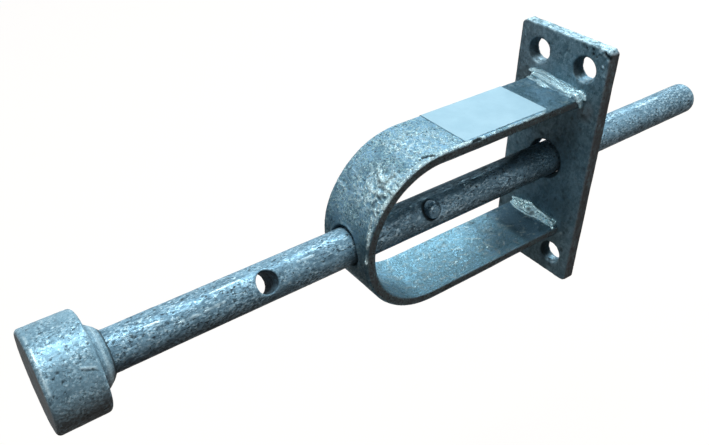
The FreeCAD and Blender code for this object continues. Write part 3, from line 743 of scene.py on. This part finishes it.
def makeStrap(spec):
    skin = Skin("bowedStrap", "bow_strap", spec["grain"])
    x, y, z = skin.points.T
    bend, outer, inner, half = spec["bend"], spec["outer"], spec["inner"], spec["half"]
    turn = np.degrees(np.arctan2(np.maximum(bend - x, 0), z))
    turn = np.where(x > bend, np.where(z > 0, bend - x, 180 + x - bend), turn)
    radius = np.where(x > bend, np.abs(z), np.hypot(x - bend, z))
    top = smoothStep(radius, outer - 1.2, outer - 0.5)  # the bow's outer face
    under = fadeOut(radius, inner + 0.5, inner + 1.2)
    edges = smoothStep(np.abs(y), half - 0.7, half - 0.15) * (1 - top) * (1 - under)
    skin.ripple(spec["ripples"], {"edges": edges})
    # scribbled patch on the near half of the bend, and finer crinkles above it
    warp = np.stack([softNoise(skin.points / 3.1, seed) for seed in (61, 62, 63)], axis=1)
    lines = 1 - np.abs(softNoise(skin.points / 1.9 + warp * 1.6, 65)) * 2.6
    lines = smoothStep(lines, 0.1, 0.8)
    patch = hump(turn, 24, 36, 52, 66) * fadeOut(y, -6, 9) * top
    crinkle = hump(turn, -14, -4, 14, 26) * fadeOut(y, 4, 12) * top
    rough = patch + 0.55 * crinkle + 0.3 * top * skin.patchy(14, 67, 0, 0.6)
    skin.lift += 0.34 * lines * rough
    # the raised lines painted bright as highlights, the gaps between them with painted shade
    skin.mark("bright", 0.95 * lines * np.clip(rough, 0, 1))
    skin.mark("dark", 0.6 * np.clip(1 - lines * 2, 0, 1) * patch * skin.spotty(2.3, 69, 0.0, 0.4))
    # hanging wrinkles across the bend, with painted highlight on the crests and painted shade in the troughs
    run = turn * 0.6545 + y * 0.32  # mm round the bend, leaning with the runs
    drawn = np.stack([run / 0.85, (y - run * 0.3) / 6.5, run * 0], axis=1) + warp * 0.7
    wave = softNoise(drawn, 71)
    wrinkle = hump(turn, 32, 42, 54, 64) * smoothStep(y, -6, 0) * top
    wrinkle = wrinkle * skin.spotty(4, 72, -0.6, 0.3)
    skin.lift += 0.13 * wave * wrinkle
    skin.mark("bright", 0.6 * smoothStep(wave, 0.2, 0.7) * wrinkle)
    skin.mark("dark", 0.4 * smoothStep(-wave, 0.3, 0.8) * wrinkle)
    # the bolt's hole in the crown: painted shade inside, zinc hanging in its top, eased at the bottom
    bore, hole, crown = np.hypot(y, z), spec["bore"], x < bend
    skin.lift += 0.5 * fadeOut(np.abs(bore - hole), 0.3, 0.9) * smoothStep(z, -1.0, 2.0) * crown
    skin.mark("dark", 0.85 * fadeOut(bore, hole - 0.1, hole + 0.5) * crown)
    skin.lift -= 0.25 * fadeOut(bore, hole + 0.4, hole + 1.2) * smoothStep(-z, -2.0, 3.0) * crown
    # pooled zinc along the near edge, painted bright as a highlight, with its nick
    band = fadeOut(y, -13.6, -12.2) * hump(turn, -16, 6, 36, 48) * top
    skin.lift += 0.15 * band
    skin.mark("bright", 0.45 * band)
    strokeBow(skin, spec)
    skin.scatter(spec["specks"], {"plain": top * (1 - patch) > 0.6, "edges": edges > 0.8,
                                  "bend": (top > 0.6) & (turn > -20) & (turn < 75)})
    # painted shade: the plate's shadow on the legs near the welds and on the lower leg's inner face, and the sheared
    # edges painted darker and browner
    plateShade = smoothStep(x, -34, -24)
    innerPlateShade = 0.38 * smoothStep(x, -54, -38) * under
    skin.mark("dullAndShade", np.maximum(plateShade * (1 - edges), innerPlateShade))
    # painted shade on the outer face round the bend's lower part
    skin.mark("dullAndShade", 0.75 * hump(turn, 62, 80, 100, 130) * top)
    skin.mark("warmAndShade", edges)
    # light from above on the lower leg's inner face
    lit = under * (z < 0) * (1 - innerPlateShade * (1 - 0.45 * smoothStep(x, -34, -18)))
    lit = lit * (1 - 0.6 * smoothStep(bend - x, 2, 18))
    skin.mark("coolAndLit", lit * skin.patchy((9, 5, 9), 97, -1.5, -0.2))
    skin.mark("bright", 0.65 * lit * skin.patchy((2.6, 1.4, 2.6), 98, 0.05, 0.55))
    scratchLeg(skin, spec["scratches"], bend, inner)
    skin.finish("bracket", "zincStrap", spec)


# welds: the bead with its strands and lumps melted together
weldZinc = {
    "Stretch": (1.7, 0.3, 1.7), "Patch Scale": 0.3, "Grain Scale": 0.9, "Low Color": (0.12, 0.24, 0.33, 1),
    "Mid Color": (0.3, 0.56, 0.72, 1), "High Color": (0.56, 0.88, 1, 1), "Run And Highlight Color": (0.68, 0.93, 1, 1),
    "Grain Amount": 0.9, "Speck Amount": 0.9, "Fleck Amount": 1.2, "Rough Low": 0.18, "Rough High": 0.34,
    "Metal Low": 0.3, "Metal High": 0.6, "Run And Highlight Metal": 0.75,
}
upperWeld = {
    "grain": 0.22,
    "seed": 161,
    "zinc": weldZinc,
    "relief": 0.00015,
    "thick": 1.35,  # strands swelled by this
    "base": 0.6,  # painted reflection: how bright the bead is all over
    "line": 0.95,  # and a painted highlight along its strands
    "glints": [((-8.0, 6.0, 40.0), 1.6), ((-8.6, -13.6, 38.8), 1.8), ((-8.4, -7.0, 39.2), 1.3)],
    "shade": [((-9.6, 11.0, 38.4), 1.0), ((-9.8, 3.4, 38.6), 1.1), ((-9.8, -3.2, 38.3), 1.0),
              ((-7.2, -15.6, 36.6), 1.2)],
    "strands": [  # x, y, z, radius in mm
        [(-7.6, 12.4, 39.2, 1.0), (-8.0, 8.6, 39.4, 1.5), (-8.5, 4.4, 39.2, 1.7), (-8.9, 0.4, 38.9, 1.7),
         (-9.1, -4.6, 38.6, 1.6), (-9.3, -9.0, 38.3, 1.5), (-8.9, -12.4, 38.2, 1.2)],
        [(-6.6, 16.4, 39.6, 0.5), (-6.9, 13.7, 40.5, 0.9), (-6.9, 9.9, 40.9, 1.0), (-7.0, 6.2, 40.8, 1.1),
         (-7.2, 2.7, 40.4, 1.2), (-7.5, -0.8, 40.0, 1.1), (-7.7, -4.7, 39.7, 1.0), (-7.8, -8.3, 39.5, 1.0),
         (-7.8, -11.2, 39.5, 0.9), (-7.2, -13.4, 39.8, 0.8), (-6.8, -15.9, 39.6, 0.5)],
        [(-8.4, 12.6, 39.2, 0.8), (-8.2, 9.7, 39.6, 0.9), (-8.4, 6.3, 39.4, 1.1), (-8.7, 1.8, 39.2, 1.2),
         (-8.6, -2.1, 39.3, 1.2), (-8.7, -5.8, 39.2, 1.1), (-8.9, -10.0, 38.9, 1.0), (-9.2, -12.6, 38.6, 0.9)],
        [(-9.8, 14.2, 37.7, 0.5), (-10.5, 11.6, 37.6, 0.6), (-10.4, 8.4, 37.7, 0.7), (-10.2, 5.6, 37.9, 0.8),
         (-10.4, 2.4, 37.8, 0.8), (-10.4, -0.8, 37.7, 0.7), (-10.3, -4.7, 37.8, 0.7), (-10.3, -8.4, 37.7, 0.8),
         (-10.3, -12.4, 37.6, 0.8)],
        [(-11.2, 7.0, 37.3, 0.5), (-11.6, 4.5, 37.3, 0.7), (-11.4, 1.6, 37.3, 0.5)],
        [(-9.0, -11.6, 38.8, 1.3), (-8.9, -13.6, 38.3, 1.5), (-8.2, -14.8, 37.0, 1.4), (-7.2, -15.1, 35.0, 1.0),
         (-6.6, -15.0, 33.0, 0.7)],
        [(-6.6, -12.8, 39.6, 0.9), (-6.5, -14.6, 39.4, 0.9), (-6.3, -16.2, 38.4, 0.8), (-6.2, -16.8, 36.9, 0.6)],
    ],
    "lumps": [((-6.9, 15.2, 40.2), 1.0), ((-8.6, 12.1, 39.5), 1.1), ((-7.9, 5.4, 40.3), 1.1),
              ((-11.2, 4.5, 37.4), 0.8), ((-9.0, -14.6, 38.2), 1.3), ((-7.8, -2.6, 40.0), 1.0)],
    "creases": [[(-9.6, 5.9, 39.0), (-9.8, 3.3, 38.8), (-9.8, 1.0, 38.7)], [(-9.8, -0.6, 38.6), (-10.0, -3.4, 38.4)],
                [(-9.6, 11.8, 38.7), (-9.6, 9.5, 38.7), (-9.5, 6.6, 38.8)], [(-9.9, -6.0, 38.4), (-9.9, -9.0, 38.3)]],
}
lowerWeld = {
    "grain": 0.22,
    "seed": 171,
    "zinc": dict(weldZinc, **{
        "Stretch": (1, 0.6, 1), "Mid Color": (0.28, 0.56, 0.76, 1), "High Color": (0.48, 0.88, 1, 1),
        "Run And Highlight Color": (0.74, 1, 1, 1), "Grain Amount": 0.8, "Metal Low": 0.2, "Metal High": 0.5, "Run And Highlight Metal": 1.0,
    }),
    "relief": 0.0001,
    "thick": 1.3,
    "base": 0.5,
    "line": 0.7,
    "glints": [((-7.6, 9.0, -30.0), 2.9), ((-7.2, 5.6, -29.4), 2.8), ((-8.6, 11.6, -31.0), 1.8),
               ((-8.3, -7.4, -30.4), 1.9), ((-8.5, -11.2, -31.0), 2.4)],
    "shade": [((-8.8, 2.0, -30.8), 2.0), ((-9.4, -0.6, -31.2), 1.8)],
    "strands": [
        [(-7.2, 14.8, -30.6, 0.6), (-7.4, 13.1, -30.2, 0.6), (-7.0, 11.5, -29.8, 0.5), (-6.7, 9.8, -29.4, 0.4)],
        [(-9.3, 13.8, -31.9, 0.5), (-10.1, 12.5, -32.1, 0.5), (-10.8, 10.0, -32.3, 0.6), (-11.1, 6.8, -32.4, 0.6),
         (-11.1, 3.4, -32.4, 0.6), (-10.9, 0.2, -32.3, 0.6), (-10.1, -3.6, -31.9, 0.6), (-9.8, -7.2, -31.8, 0.6),
         (-9.9, -10.6, -31.9, 0.6)],
        [(-8.8, 13.4, -31.0, 0.45), (-9.2, 12.0, -31.3, 0.45), (-10.0, 9.4, -31.8, 0.45), (-10.4, 6.4, -32.0, 0.45)],
        [(-8.3, 12.2, -30.6, 0.45), (-8.9, 10.0, -31.0, 0.45), (-9.5, 7.1, -31.5, 0.45), (-9.9, 4.6, -31.6, 0.45)],
        [(-6.7, 7.2, -29.2, 0.7), (-6.6, 4.3, -28.8, 1.0), (-6.7, 1.3, -29.0, 0.8), (-6.9, -2.0, -29.4, 0.6),
         (-7.2, -5.1, -29.6, 0.6), (-7.4, -8.1, -29.8, 0.7), (-7.4, -11.4, -30.2, 0.7)],
        [(-7.0, -2.2, -29.6, 0.4), (-8.6, -3.4, -30.3, 0.5), (-10.0, -2.6, -31.6, 0.4)],
        [(-7.2, -4.4, -29.8, 0.4), (-8.8, -5.6, -30.4, 0.55), (-10.1, -4.8, -31.8, 0.4)],
        [(-7.3, -6.4, -29.8, 0.4), (-8.9, -7.6, -30.5, 0.6), (-10.0, -6.8, -31.8, 0.4)],
        [(-7.4, -8.4, -29.9, 0.5), (-8.9, -9.7, -30.5, 0.65), (-10.0, -9.0, -31.8, 0.5)],
        [(-7.4, -10.4, -30.1, 0.6), (-8.8, -11.9, -30.6, 0.8), (-9.6, -11.2, -31.7, 0.5)],
    ],
    "lumps": [((-8.2, 6.6, -30.6), 1.7), ((-8.4, 9.4, -30.4), 0.9), ((-8.3, 6.3, -30.2), 0.9),
              ((-7.2, 4.6, -29.0), 1.2), ((-9.3, 4.9, -31.2), 0.9), ((-8.6, -12.8, -31.2), 1.1),
              ((-9.6, -14.4, -32.3), 0.9)],
    "creases": [[(-8.9, 3.4, -30.9), (-8.9, 1.0, -30.9), (-9.1, -1.4, -31.0)],
                [(-9.6, 11.0, -31.5), (-10.2, 8.4, -31.9)], [(-9.0, 11.0, -31.0), (-9.6, 8.2, -31.5)]],
}


def makeWeld(name, node, coat, spec):
    seed = spec["seed"]
    extras = [tube([(*spot[:3], spot[3] * spec["thick"]) for spot in strand]) for strand in spec["strands"]]
    extras += [blob(*lump) for lump in spec["lumps"]]
    skin = Skin(name, node, spec["grain"], extras)
    skin.ripple([(0.07, 1.1, seed, 3, None, (1, 1.8, 1))])
    # painted highlights on the upper front side of each strand and lump
    for strand in spec["strands"]:
        width = np.array(strand)[:, 3].mean() + 0.3
        crest = [(x - radius * 0.6, y, z + radius * 0.6) for x, y, z, radius in strand]
        skin.stroke(crest, width, bright=spec["line"], broken=0.15, seed=seed + 2)
    for (x, y, z), radius in spec["lumps"]:
        skin.dab((x - radius * 0.6, y, z + radius * 0.6), radius, bright=0.9)
    # painted shade in the creases
    for crease in spec["creases"]:
        skin.stroke(crease, 0.65, -0.2, dark=0.6)
    for mask, amount, spots in (("bright", 0.9, spec["glints"]), ("dark", 0.6, spec["shade"])):
        for place, radius in spots:
            skin.dab(place, radius, **{mask: amount})
    # painted reflection over the whole bead
    skin.mark("bright", spec["base"])
    skin.finish("bracket", coat, spec)


# round bar: mottled, with pits, chips and two bright streaks
bar = {
    "grain": 0.5,
    "axis": -0.8,  # mm, height of the bar's middle
    "radius": 8.1,
    "relief": 0.00006,
    "zinc": {
        "Stretch": (0.55, 1, 1), "Patch Scale": 0.12, "Grain Scale": 1.0, "Low Color": (0.13, 0.23, 0.31, 1),
        "Mid Color": (0.24, 0.41, 0.54, 1), "High Color": (0.47, 0.76, 0.96, 1), "Warm And Shade Color": (0.1, 0.11, 0.125, 1),
        "Dull And Shade Color": (0.06, 0.09, 0.11, 1), "Grain Amount": 0.75, "Speck Amount": 0.95, "Fleck Amount": 2.2,
        "Rough Low": 0.18, "Rough High": 0.27, "Metal Low": 0.13, "Metal High": 0.34, "Dull And Shade Metal": 0.05,
    },
    "ripples": [(0.1, 9, 101, 2, None, (2, 1, 1)), (0.035, 2.4, 103, 3, None, (2.2, 1, 1)),
                (0.1, 1.8, 105, 3, "headEnd", 1)],
    "specks": [
        (150, 109, (0.3, 0.7), (-0.22, -0.05), "outer", {"dark": 0.8}),
        (110, 111, (0.25, 0.55), (-0.12, -0.03), "inner", {"dark": 0.6}),
        (120, 113, (0.25, 0.5), (0.03, 0.1), "wall", {"bright": 0.7}),
        # painted glints on the near upper side of the bar inside the bow
        (70, 117, (0.5, 1.1), (0.0, 0.1), "near", {"bright": 0.9}),
    ],
    # streaks, pits and lumps are placed by mm along the bar and degrees from the near side upwards
    "streaks": [[(-200.4, 38), (-192.7, 37), (-182.9, 39)], [(-185.4, 77), (-174.2, 78)], [(-150, 58), (-143, 56)],
                [(-212, 62), (-206, 60)], [(60, 80), (78, 82)]],
    "dabs": [
        (-0.3, {"dark": 0.95}, [
            (-217.4, 53, 0.7), (-216.4, 48, 0.8), (-225.1, 64, 0.6), (-223.6, 57, 0.7), (-223.8, 26, 0.5),
            (-218.6, 32, 0.4), (-217.2, 49, 0.6), (-201.3, 67, 0.5), (-200.4, 71, 0.4), (-204.3, 46, 0.7),
            (-205.8, 28, 0.6), (-210.6, 28, 0.6), (-189.2, 77, 0.7), (-188.0, 72, 0.6), (-190.3, 70, 0.5),
            (-178.9, 55, 0.6), (-177.6, 52, 0.5), (-180.4, 57, 0.5), (-210.4, 110, 1.0), (-195.9, 97, 1.2),
            (-168.3, 98, 0.8), (-206.0, 103, 0.9), (-216.0, 100, 0.8)]),
        (0.25, {"bright": 0.9}, [
            (-225.6, 68, 0.7), (-215.0, 43, 0.7), (-212.5, 30, 0.6), (-219.5, 60, 0.6), (-221.0, 40, 0.5)]),
    ],
}


def onBar(along, roundBy, radius):
    angle = math.radians(roundBy)
    return (along, -radius * math.cos(angle), bar["axis"] + radius * math.sin(angle))


def makeBar(spec):
    skin = Skin("roundBar", "bolt_rod", spec["grain"])
    x, y, z = skin.points.T
    radius = spec["radius"]
    skin.ripple(spec["ripples"], {"headEnd": fadeOut(x, -226, -190)})
    for streak in spec["streaks"]:
        skin.stroke([onBar(*spot, radius) for spot in streak], 0.65, 0.1, bright=1.6, broken=0.1, seed=107)
    skin.dabAll(spec["dabs"], partial(onBar, radius=radius))
    wall = smoothStep(np.hypot(y, z - spec["axis"]), radius - 0.6, radius - 0.2)
    near = (y < -2.5) & (z > spec["axis"]) & (x > -112) & (x < -10)
    skin.scatter(spec["specks"], {"outer": (wall > 0.6) & (x < -128), "inner": (wall > 0.6) & (x > -128),
                                  "wall": wall > 0.6, "near": (wall > 0.6) & near})
    # painted shade on the lower side, heavier towards the head
    lowerShade = 0.9 - 0.4 * smoothStep(x, -185, -150)
    skin.mark("warmAndShade", lowerShade * smoothStep(spec["axis"] - z, -4.5, 3) * wall)
    # painted shade round the stop pin's foot
    foot = onBar(pin["along"], 180 - pin["lean"], radius)
    skin.mark("dark", 0.95 * fadeOut(np.linalg.norm(skin.points - foot, axis=1), 4.5, 5.3))
    # painted shade on the far side, where it runs inside the bow under the upper leg, and a dull film on the cross
    # hole's wall
    far = smoothStep(y, -4.0, 0.5) * hump(x, -122, -112, -12, 0)
    skin.mark("dullAndShade", np.maximum(0.85 * far * skin.patchy((6, 3, 3), 115, -1.0, -0.2), 1 - wall))
    skin.finish("bolt", "zincBar", spec)


# knob head: a slug of thick bar, speckled, with soft rims
head = {
    "grain": 0.4,
    "radius": 19.0,
    "ends": (-250.0, -231.0),
    "relief": 0.00005,
    "zinc": {
        "Stretch": (0.8, 1, 1), "Patch Scale": 0.13, "Grain Scale": 0.95, "Low Color": (0.2, 0.34, 0.44, 1),
        "Mid Color": (0.29, 0.48, 0.61, 1), "High Color": (0.47, 0.77, 0.95, 1), "Dull And Shade Color": (0.2, 0.2, 0.21, 1),
        "Warm And Shade Color": (0.165, 0.155, 0.15, 1), "Dull And Shade Amount": 0.9, "Grain Amount": 0.6, "Speck Amount": 0.6,
        "Fleck Amount": 1.6, "Rough Low": 0.17, "Rough High": 0.25, "Metal Low": 0.18, "Metal High": 0.38,
        "Dull And Shade Metal": 0.12,
    },
    "ripples": [(0.16, 12, 121, 2, None, 1), (0.04, 2.6, 123, 3, None, 1)],
    "specks": [
        (130, 127, (0.3, 0.65), (-0.16, -0.04), "barrel", {"dark": 0.8}),
        (170, 129, (0.3, 0.65), (0.04, 0.12), "upper", {"bright": 0.9}),
        (40, 131, (0.3, 0.6), (-0.1, 0.06), "face", {"dark": 0.3}),
    ],
    "rim": (24, 104, 4),  # painted highlight round the outer end: degrees from the near side upwards, and their step
    "scratch": [(-237.4, 39.5), (-233.4, 34.5)],
    "dabs": [(-0.28, {"dark": 0.9}, [
        (-232.4, 84, 0.6), (-243.9, 91, 0.7), (-242.1, 81, 0.6), (-244.2, 44, 0.8), (-243.7, 34, 0.7),
        (-244.4, 58, 0.5), (-232.5, 58, 0.5), (-234.5, 79, 0.6), (-238.6, 64, 0.5), (-241.0, 52, 0.4),
        (-246.0, 40, 0.6), (-236.2, 48, 0.4), (-247.0, 70, 0.4), (-245.4, 86, 0.5)])],
}


def makeHead(spec):
    skin = Skin("knobHead", "bolt_head", spec["grain"])
    x, y, z = skin.points.T
    radius, outerEnd = spec["radius"], spec["ends"][0]
    reach = np.hypot(y, z - bar["axis"])
    barrel = smoothStep(reach, radius - 0.8, radius - 0.3)
    face = fadeOut(x, outerEnd + 0.3, outerEnd + 0.8) * fadeOut(reach, radius - 1.8, radius - 1.0)
    skin.ripple(spec["ripples"])
    # a painted highlight along the outer rim
    rim = [onBar(outerEnd + 1.4, degrees, radius - 0.03) for degrees in range(*spec["rim"])]
    skin.stroke(rim, 0.6, 0.1, bright=1.7, broken=0.3, seed=125)
    skin.stroke([onBar(*spot, radius) for spot in spec["scratch"]], 0.6, 0.16, bright=2.0)
    # painted shadow along the lower side of the scratch
    below = [onBar(along, roundBy - 2.9, radius) for along, roundBy in spec["scratch"]]
    skin.stroke(below, 0.4, -0.12, dark=0.8)
    skin.dabAll(spec["dabs"], partial(onBar, radius=radius))
    skin.scatter(spec["specks"], {"barrel": barrel > 0.7, "upper": (barrel > 0.7) & (z > 0), "face": face > 0.7})
    # painted shade on the lower side
    skin.mark("warmAndShade", 0.96 * smoothStep(bar["axis"] - z, -8, 6) * (1 - face))
    skin.mark("dullAndShade", face)
    skin.finish("bolt", "zincHead", spec)


# weld ring behind the head: one smooth band with a painted highlight, creased where it meets the bar, with painted
# shade in that crease, at the head and on its lower side
ring = {
    "grain": 0.25,
    "relief": 0.00005,
    # mm along the bar and out from its middle
    "crease": (-225.9, 8.5),
    "band": (-228.4, 10.9),
    "zinc": {
        "Patch Scale": 0.2, "Low Color": (0.17, 0.29, 0.38, 1), "Mid Color": (0.26, 0.43, 0.55, 1),
        "High Color": (0.46, 0.74, 0.9, 1), "Grain Amount": 0.5, "Speck Amount": 0.3, "Rough Low": 0.2,
        "Rough High": 0.3, "Metal Low": 0.16, "Metal High": 0.3,
    },
    "ripples": [(0.12, 3.2, 141, 2, None, 1), (0.05, 1.2, 143, 3, None, 1)],
}


def makeRing(spec):
    skin = Skin("headWeld", "head_weld", spec["grain"])
    x, y, z = skin.points.T
    skin.ripple(spec["ripples"])
    reach = np.hypot(y, z - bar["axis"])

    def gap(place):
        return np.hypot(x - place[0], reach - place[1])

    skin.mark("bright", 0.5 * fadeOut(gap(spec["band"]), 0.4, 1.4))
    skin.mark("warmAndShade", 0.8 * smoothStep(bar["axis"] - z, -6, 5))
    skin.mark("dark", 0.85 * fadeOut(gap(spec["crease"]), 0.4, 1.6))
    skin.mark("dark", 0.8 * fadeOut(np.abs(x - head["ends"][1]), 0.3, 1.3))
    skin.finish("carrier", "zincRing", spec)


# stop pin: a stub with a round dome
pin = {
    "grain": 0.2,
    "along": -84.0,
    "lean": 140,  # degrees round the bar, from the far side
    "radius": 3.5,
    "proud": 3.8,
    "wide": 1.2,
    "tall": 1.18,
    "relief": 0.00004,
    "zinc": dict(bar["zinc"], **{
        "Grain Amount": 0.3, "Speck Amount": 0.3, "Rough Low": 0.12, "Rough High": 0.2, "Metal Low": 0.2,
        "Metal High": 0.35, "Run And Highlight Metal": 0.6,
    }),
    "ripples": [(0.05, 1.6, 151, 2, None, 1)],
    "specks": [(8, 153, (0.25, 0.4), (-0.08, -0.03), None, {"dark": 0.5})],
}


def makePin(spec):
    skin = Skin("stopPin", "stop_pin", spec["grain"])
    lean = math.radians(spec["lean"])
    up = np.array([0, math.cos(lean), math.sin(lean)])
    foot = np.array([spec["along"], 0, bar["axis"]])
    height = (skin.points - foot) @ up
    off = skin.points - foot - height[:, None] * up
    reach = np.linalg.norm(off, axis=1)
    base = bar["radius"] - 0.4
    full = bar["radius"] + spec["proud"]
    # the part above the bar is drawn to a round dome
    rise = np.maximum(height - base, 0)
    spread = np.hypot(reach / spec["radius"], rise / (full - base))
    drawn = np.where(rise > 0, 1 / np.maximum(spread, 0.2), 1)
    # wider across the bar than along it, where the plate and the crown stop it
    above = smoothStep(rise, 0.0, 0.8)[:, None]
    wide = 1 + above * (np.array([1, spec["wide"], spec["wide"]]) - 1)
    tall = np.minimum(height, base) + rise * drawn * spec["tall"]
    skin.points = foot + tall[:, None] * up + off * wide * drawn[:, None]
    skin.ripple(spec["ripples"])
    skin.scatter(spec["specks"])
    # painted highlights on the top of the dome
    skin.dab(foot + up * (full + 0.2) + (0, 0.5, 1.4), 1.2, bright=0.9)
    skin.dab(foot + up * (full - 0.4) + (-2.2, 0, 0.6), 0.9, bright=0.8)
    skin.finish("bolt", "zincPin", spec)


# paper label: a thin sheet stuck on the upper leg and folded over its far edge
label = {
    "along": (-74.8, -27.3),  # mm
    "near": -13.3,
    "top": 37.5,
    "far": 15.0,
    "hang": 34.15,  # how low it reaches on the far edge
    "thick": 0.16,
    "fold": 0.9,
    "ragged": 0.16,
    "wave": 0.05,
    "steps": (120, 90),
}


def paperMaterial():
    mat = bpy.data.materials.new("labelPaper")
    mat.use_nodes = True
    tree = mat.node_tree
    link = tree.links.new
    shader = tree.nodes["Principled BSDF"]
    shader.inputs["Specular IOR Level"].default_value = 0.2
    place = addNode(tree, "ShaderNodeTexCoord").outputs["Object"]
    cloud = addNode(tree, "ShaderNodeTexNoise", {"Scale": 90, "Detail": 3, "Roughness": 0.6})
    fibre = addNode(tree, "ShaderNodeTexNoise", {"Scale": 1400, "Detail": 3, "Roughness": 0.7})
    for node in (cloud, fibre):
        link(place, node.inputs["Vector"])
    clouded = stretchRange(tree, cloud.outputs["Fac"], 0.35, 0.7)
    color = mixColor(tree, clouded, (0.44, 0.66, 0.79, 1), (0.5, 0.72, 0.85, 1))
    soiled = mathNode(tree, "MULTIPLY", stretchRange(tree, fibre.outputs["Fac"], 0.55, 0.75), 0.18)
    color = mixColor(tree, soiled, color, (0.32, 0.5, 0.62, 1))
    link(color, shader.inputs["Base Color"])
    rough = addNode(tree, "ShaderNodeMapRange", {"To Min": 0.62, "To Max": 0.8})
    link(fibre.outputs["Fac"], rough.inputs["Value"])
    link(rough.outputs["Result"], shader.inputs["Roughness"])
    bump = addNode(tree, "ShaderNodeBump", {"Strength": 0.6, "Distance": 0.00004})
    link(fibre.outputs["Fac"], bump.inputs["Height"])
    link(bump.outputs["Normal"], shader.inputs["Normal"])
    return mat


def makeLabel(spec):
    start, end = spec["along"]
    top, far, fold = spec["top"], spec["far"], spec["fold"]
    stepsX, stepsY = spec["steps"]
    flat = far - fold - spec["near"]
    bend = fold * math.pi / 2
    length = flat + bend + top - fold - spec["hang"]

    def place(u, v, height):
        # u along the strap, v from the near edge over to the far side, height off the steel
        run = v * length
        x = start + (end - start) * u
        if run < flat:
            return (x, spec["near"] + run, top + height)
        if run < flat + bend:
            angle = (run - flat) / fold
            reach = fold + height
            return (x, far - fold + reach * math.sin(angle), top - fold + reach * math.cos(angle))
        return (x, far + height, top - fold - (run - flat - bend))

    edge = np.linspace(0, 1, stepsX + 1)
    ragged = spec["ragged"] * layeredNoise(np.stack([edge * 34, edge * 0, edge * 0], axis=1), 181, 3)
    grid = np.array([(ix / stepsX * 5, iy / stepsY * 4, 0.0) for ix in range(stepsX + 1) for iy in range(stepsY + 1)])
    wave = (spec["wave"] * (1 + layeredNoise(grid, 183, 2))).reshape(stepsX + 1, stepsY + 1)
    shape = bmesh.new()

    def sheet(thick):
        rows = []
        for ix in range(stepsX + 1):
            row = []
            for iy in range(stepsY + 1):
                x, y, z = place(ix / stepsX, iy / stepsY, wave[ix][iy] + thick)
                y += ragged[ix] * max(0.0, 1 - iy / stepsY * 12)
                row.append(shape.verts.new((x * mm, y * mm, z * mm)))
            rows.append(row)
        return rows

    upper, lower = sheet(spec["thick"]), sheet(0)
    for ix in range(stepsX):
        for iy in range(stepsY):
            for side, turn in ((upper, 1), (lower, -1)):
                corners = (side[ix][iy], side[ix + 1][iy], side[ix + 1][iy + 1], side[ix][iy + 1])
                shape.faces.new(corners[::turn])
    rim = [(ix, 0) for ix in range(stepsX)] + [(stepsX, iy) for iy in range(stepsY)]
    rim += [(ix, stepsY) for ix in range(stepsX, 0, -1)] + [(0, iy) for iy in range(stepsY, 0, -1)]
    for (ix, iy), (jx, jy) in zip(rim, rim[1:] + rim[:1]):
        shape.faces.new((upper[ix][iy], lower[ix][iy], lower[jx][jy], upper[jx][jy]))
    bmesh.ops.recalc_face_normals(shape, faces=shape.faces)
    mesh = bpy.data.meshes.new("paperLabel")
    shape.to_mesh(mesh)
    shape.free()
    mesh.polygons.foreach_set("use_smooth", np.ones(len(mesh.polygons), bool))
    piece = bpy.data.objects.new("paperLabel", mesh)
    scene.collection.objects.link(piece)
    mesh.materials.append(paperMaterial())
    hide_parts("paper_label")
    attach(piece, "bracket")
    print("paperLabel made")


makePlate(plate)
makeStrap(strap)
makeWeld("upperWeld", "upper_weld", "zincWeld", upperWeld)
makeWeld("lowerWeld", "lower_weld", "zincInnerWeld", lowerWeld)
makeBar(bar)
makeHead(head)
makeRing(ring)
makePin(pin)
makeLabel(label)
